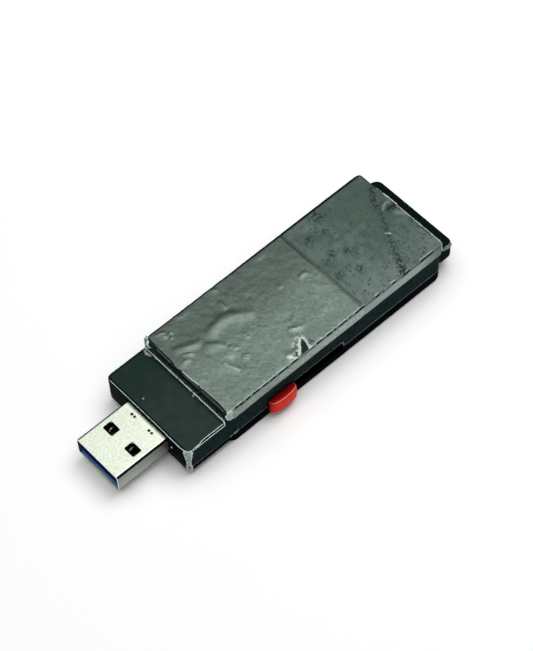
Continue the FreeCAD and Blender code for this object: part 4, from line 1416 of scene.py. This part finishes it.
class DRIVE_OT_board(bpy.types.Operator):
    """Gives the tray, the board and the parts on it their finishes"""

    bl_idname = "drive.board"
    bl_label = "Tray and board"

    def execute(self, context):
        settings = context.scene.drive_board
        dark = tuple(0.6 * c for c in settings.package)
        deep_green = tuple(0.55 * c for c in settings.laminate)
        parts = (
            SmallPart("slide_tray", "tray_moulded", settings.tray, dark, 0.2, 0.5, 0.004),
            SmallPart("circuit_board", "board_lacquer", settings.laminate, deep_green, 0.4, 0.32, 0.006),
            *SMALL_PARTS,
        )
        for node, name, light, shade, spacing, rough, depth, metal in parts:
            dress(node, grained(name, light, shade, spacing, rough, depth, Metallic=metal))
        package = grained("chip_epoxy", settings.package, dark, spacing=0.08, rough=0.58, depth=0.004)
        for node in CHIPS:
            dress(node, package)
        return {"FINISHED"}


class DRIVE_OT_stage(bpy.types.Operator):
    """Sets up the floor, the light and the camera"""

    bl_idname = "drive.stage"
    bl_label = "Stage"

    def execute(self, context):
        settings = context.scene.drive_stage
        self.floor(context, settings)
        self.light(context, settings)
        self.camera(context, settings)
        context.scene.view_settings.view_transform = "Standard"
        return {"FINISHED"}

    def floor(self, context, settings):
        """A pale sheet of paper, large enough to have no edge in sight."""
        reach = 3.0
        mesh = bpy.data.meshes.new("floor")
        corners = [(-reach, -reach, 0), (reach, -reach, 0), (reach, reach, 0), (-reach, reach, 0)]
        mesh.from_pydata(corners, [], [(0, 1, 2, 3)])
        pale = tuple(0.99 * c for c in settings.floor)
        paper = grained(
            "floor_paper", settings.floor, pale, spacing=20, rough=0.8, depth=0.1, Specular_IOR_Level=0.0
        )
        mesh.materials.append(paper)
        floor = bpy.data.objects.new("floor", mesh)
        context.scene.collection.objects.link(floor)

    def light(self, context, settings):
        """The dome and a softbox above the drive."""
        context.scene.world = surround(settings)
        lamp = bpy.data.lights.new("softbox", "AREA")
        lamp.size = settings.softbox_size
        lamp.energy = settings.softbox_power
        softbox = bpy.data.objects.new("softbox", lamp)
        softbox.location = settings.softbox_place
        softbox.rotation_mode = "QUATERNION"
        aim = Vector(settings.target) - Vector(settings.softbox_place)
        softbox.rotation_quaternion = aim.to_track_quat("-Z", "Y")
        context.scene.collection.objects.link(softbox)

    def camera(self, context, settings):
        """The camera on its round about the drive, tilted about its view."""
        level = math.cos(settings.elevation)
        back_x = math.sin(settings.azimuth) * level
        back_y = -math.cos(settings.azimuth) * level
        back = Vector((back_x, back_y, math.sin(settings.elevation)))
        right = Vector((0, 0, 1)).cross(back).normalized()
        up = back.cross(right)
        turned_right = right * math.cos(settings.roll) + up * math.sin(settings.roll)
        turned_up = up * math.cos(settings.roll) - right * math.sin(settings.roll)
        data = bpy.data.cameras.new("camera")
        data.sensor_width = SENSOR
        data.lens = settings.focal_pixels * SENSOR / IMAGE_HEIGHT
        data.clip_start = 0.01
        camera = bpy.data.objects.new("camera", data)
        place = Matrix((turned_right, turned_up, back)).transposed().to_4x4()
        place.translation = Vector(settings.target) + back * settings.distance
        camera.matrix_world = place
        context.scene.collection.objects.link(camera)
        context.scene.camera = camera


GROUPS = (
    ("drive_case", CaseSettings),
    ("drive_film", FilmSettings),
    ("drive_button", ButtonSettings),
    ("drive_plug", PlugSettings),
    ("drive_board", BoardSettings),
    ("drive_stage", StageSettings),
)
OPERATORS = (
    DRIVE_OT_case,
    DRIVE_OT_cover_film,
    DRIVE_OT_bunches,
    DRIVE_OT_nose_film,
    DRIVE_OT_button,
    DRIVE_OT_plug,
    DRIVE_OT_board,
    DRIVE_OT_stage,
)


class DRIVE_PT_sidebar(bpy.types.Panel):
    """Lists the pieces and their settings"""

    bl_idname = "DRIVE_PT_sidebar"
    bl_label = "Drive dressing"
    bl_space_type = "VIEW_3D"
    bl_region_type = "UI"
    bl_category = "Drive"

    def draw(self, context):
        for operator in OPERATORS:
            self.layout.operator(operator.bl_idname)
        for name, group in GROUPS:
            box = self.layout.box()
            box.label(text=group.__doc__)
            settings = getattr(context.scene, name)
            for key in group.__annotations__:
                box.prop(settings, key)


def register():
    """Adds the settings, the operators and the sidebar."""
    for name, group in GROUPS:
        bpy.utils.register_class(group)
        setattr(bpy.types.Scene, name, PointerProperty(type=group))
    for kind in (*OPERATORS, DRIVE_PT_sidebar):
        bpy.utils.register_class(kind)


def unregister():
    """Takes the sidebar, the operators and the settings away again."""
    for kind in (DRIVE_PT_sidebar, *reversed(OPERATORS)):
        bpy.utils.unregister_class(kind)
    for name, group in reversed(GROUPS):
        delattr(bpy.types.Scene, name)
        bpy.utils.unregister_class(group)


def main():
    """Builds the pieces and the stage in order."""
    register()
    bpy.ops.drive.case()
    bpy.ops.drive.cover_film()
    bpy.ops.drive.bunches()
    bpy.ops.drive.nose_film()
    bpy.ops.drive.button()
    bpy.ops.drive.plug()
    bpy.ops.drive.board()
    bpy.ops.drive.stage()


if __name__ == "__main__":
    main()
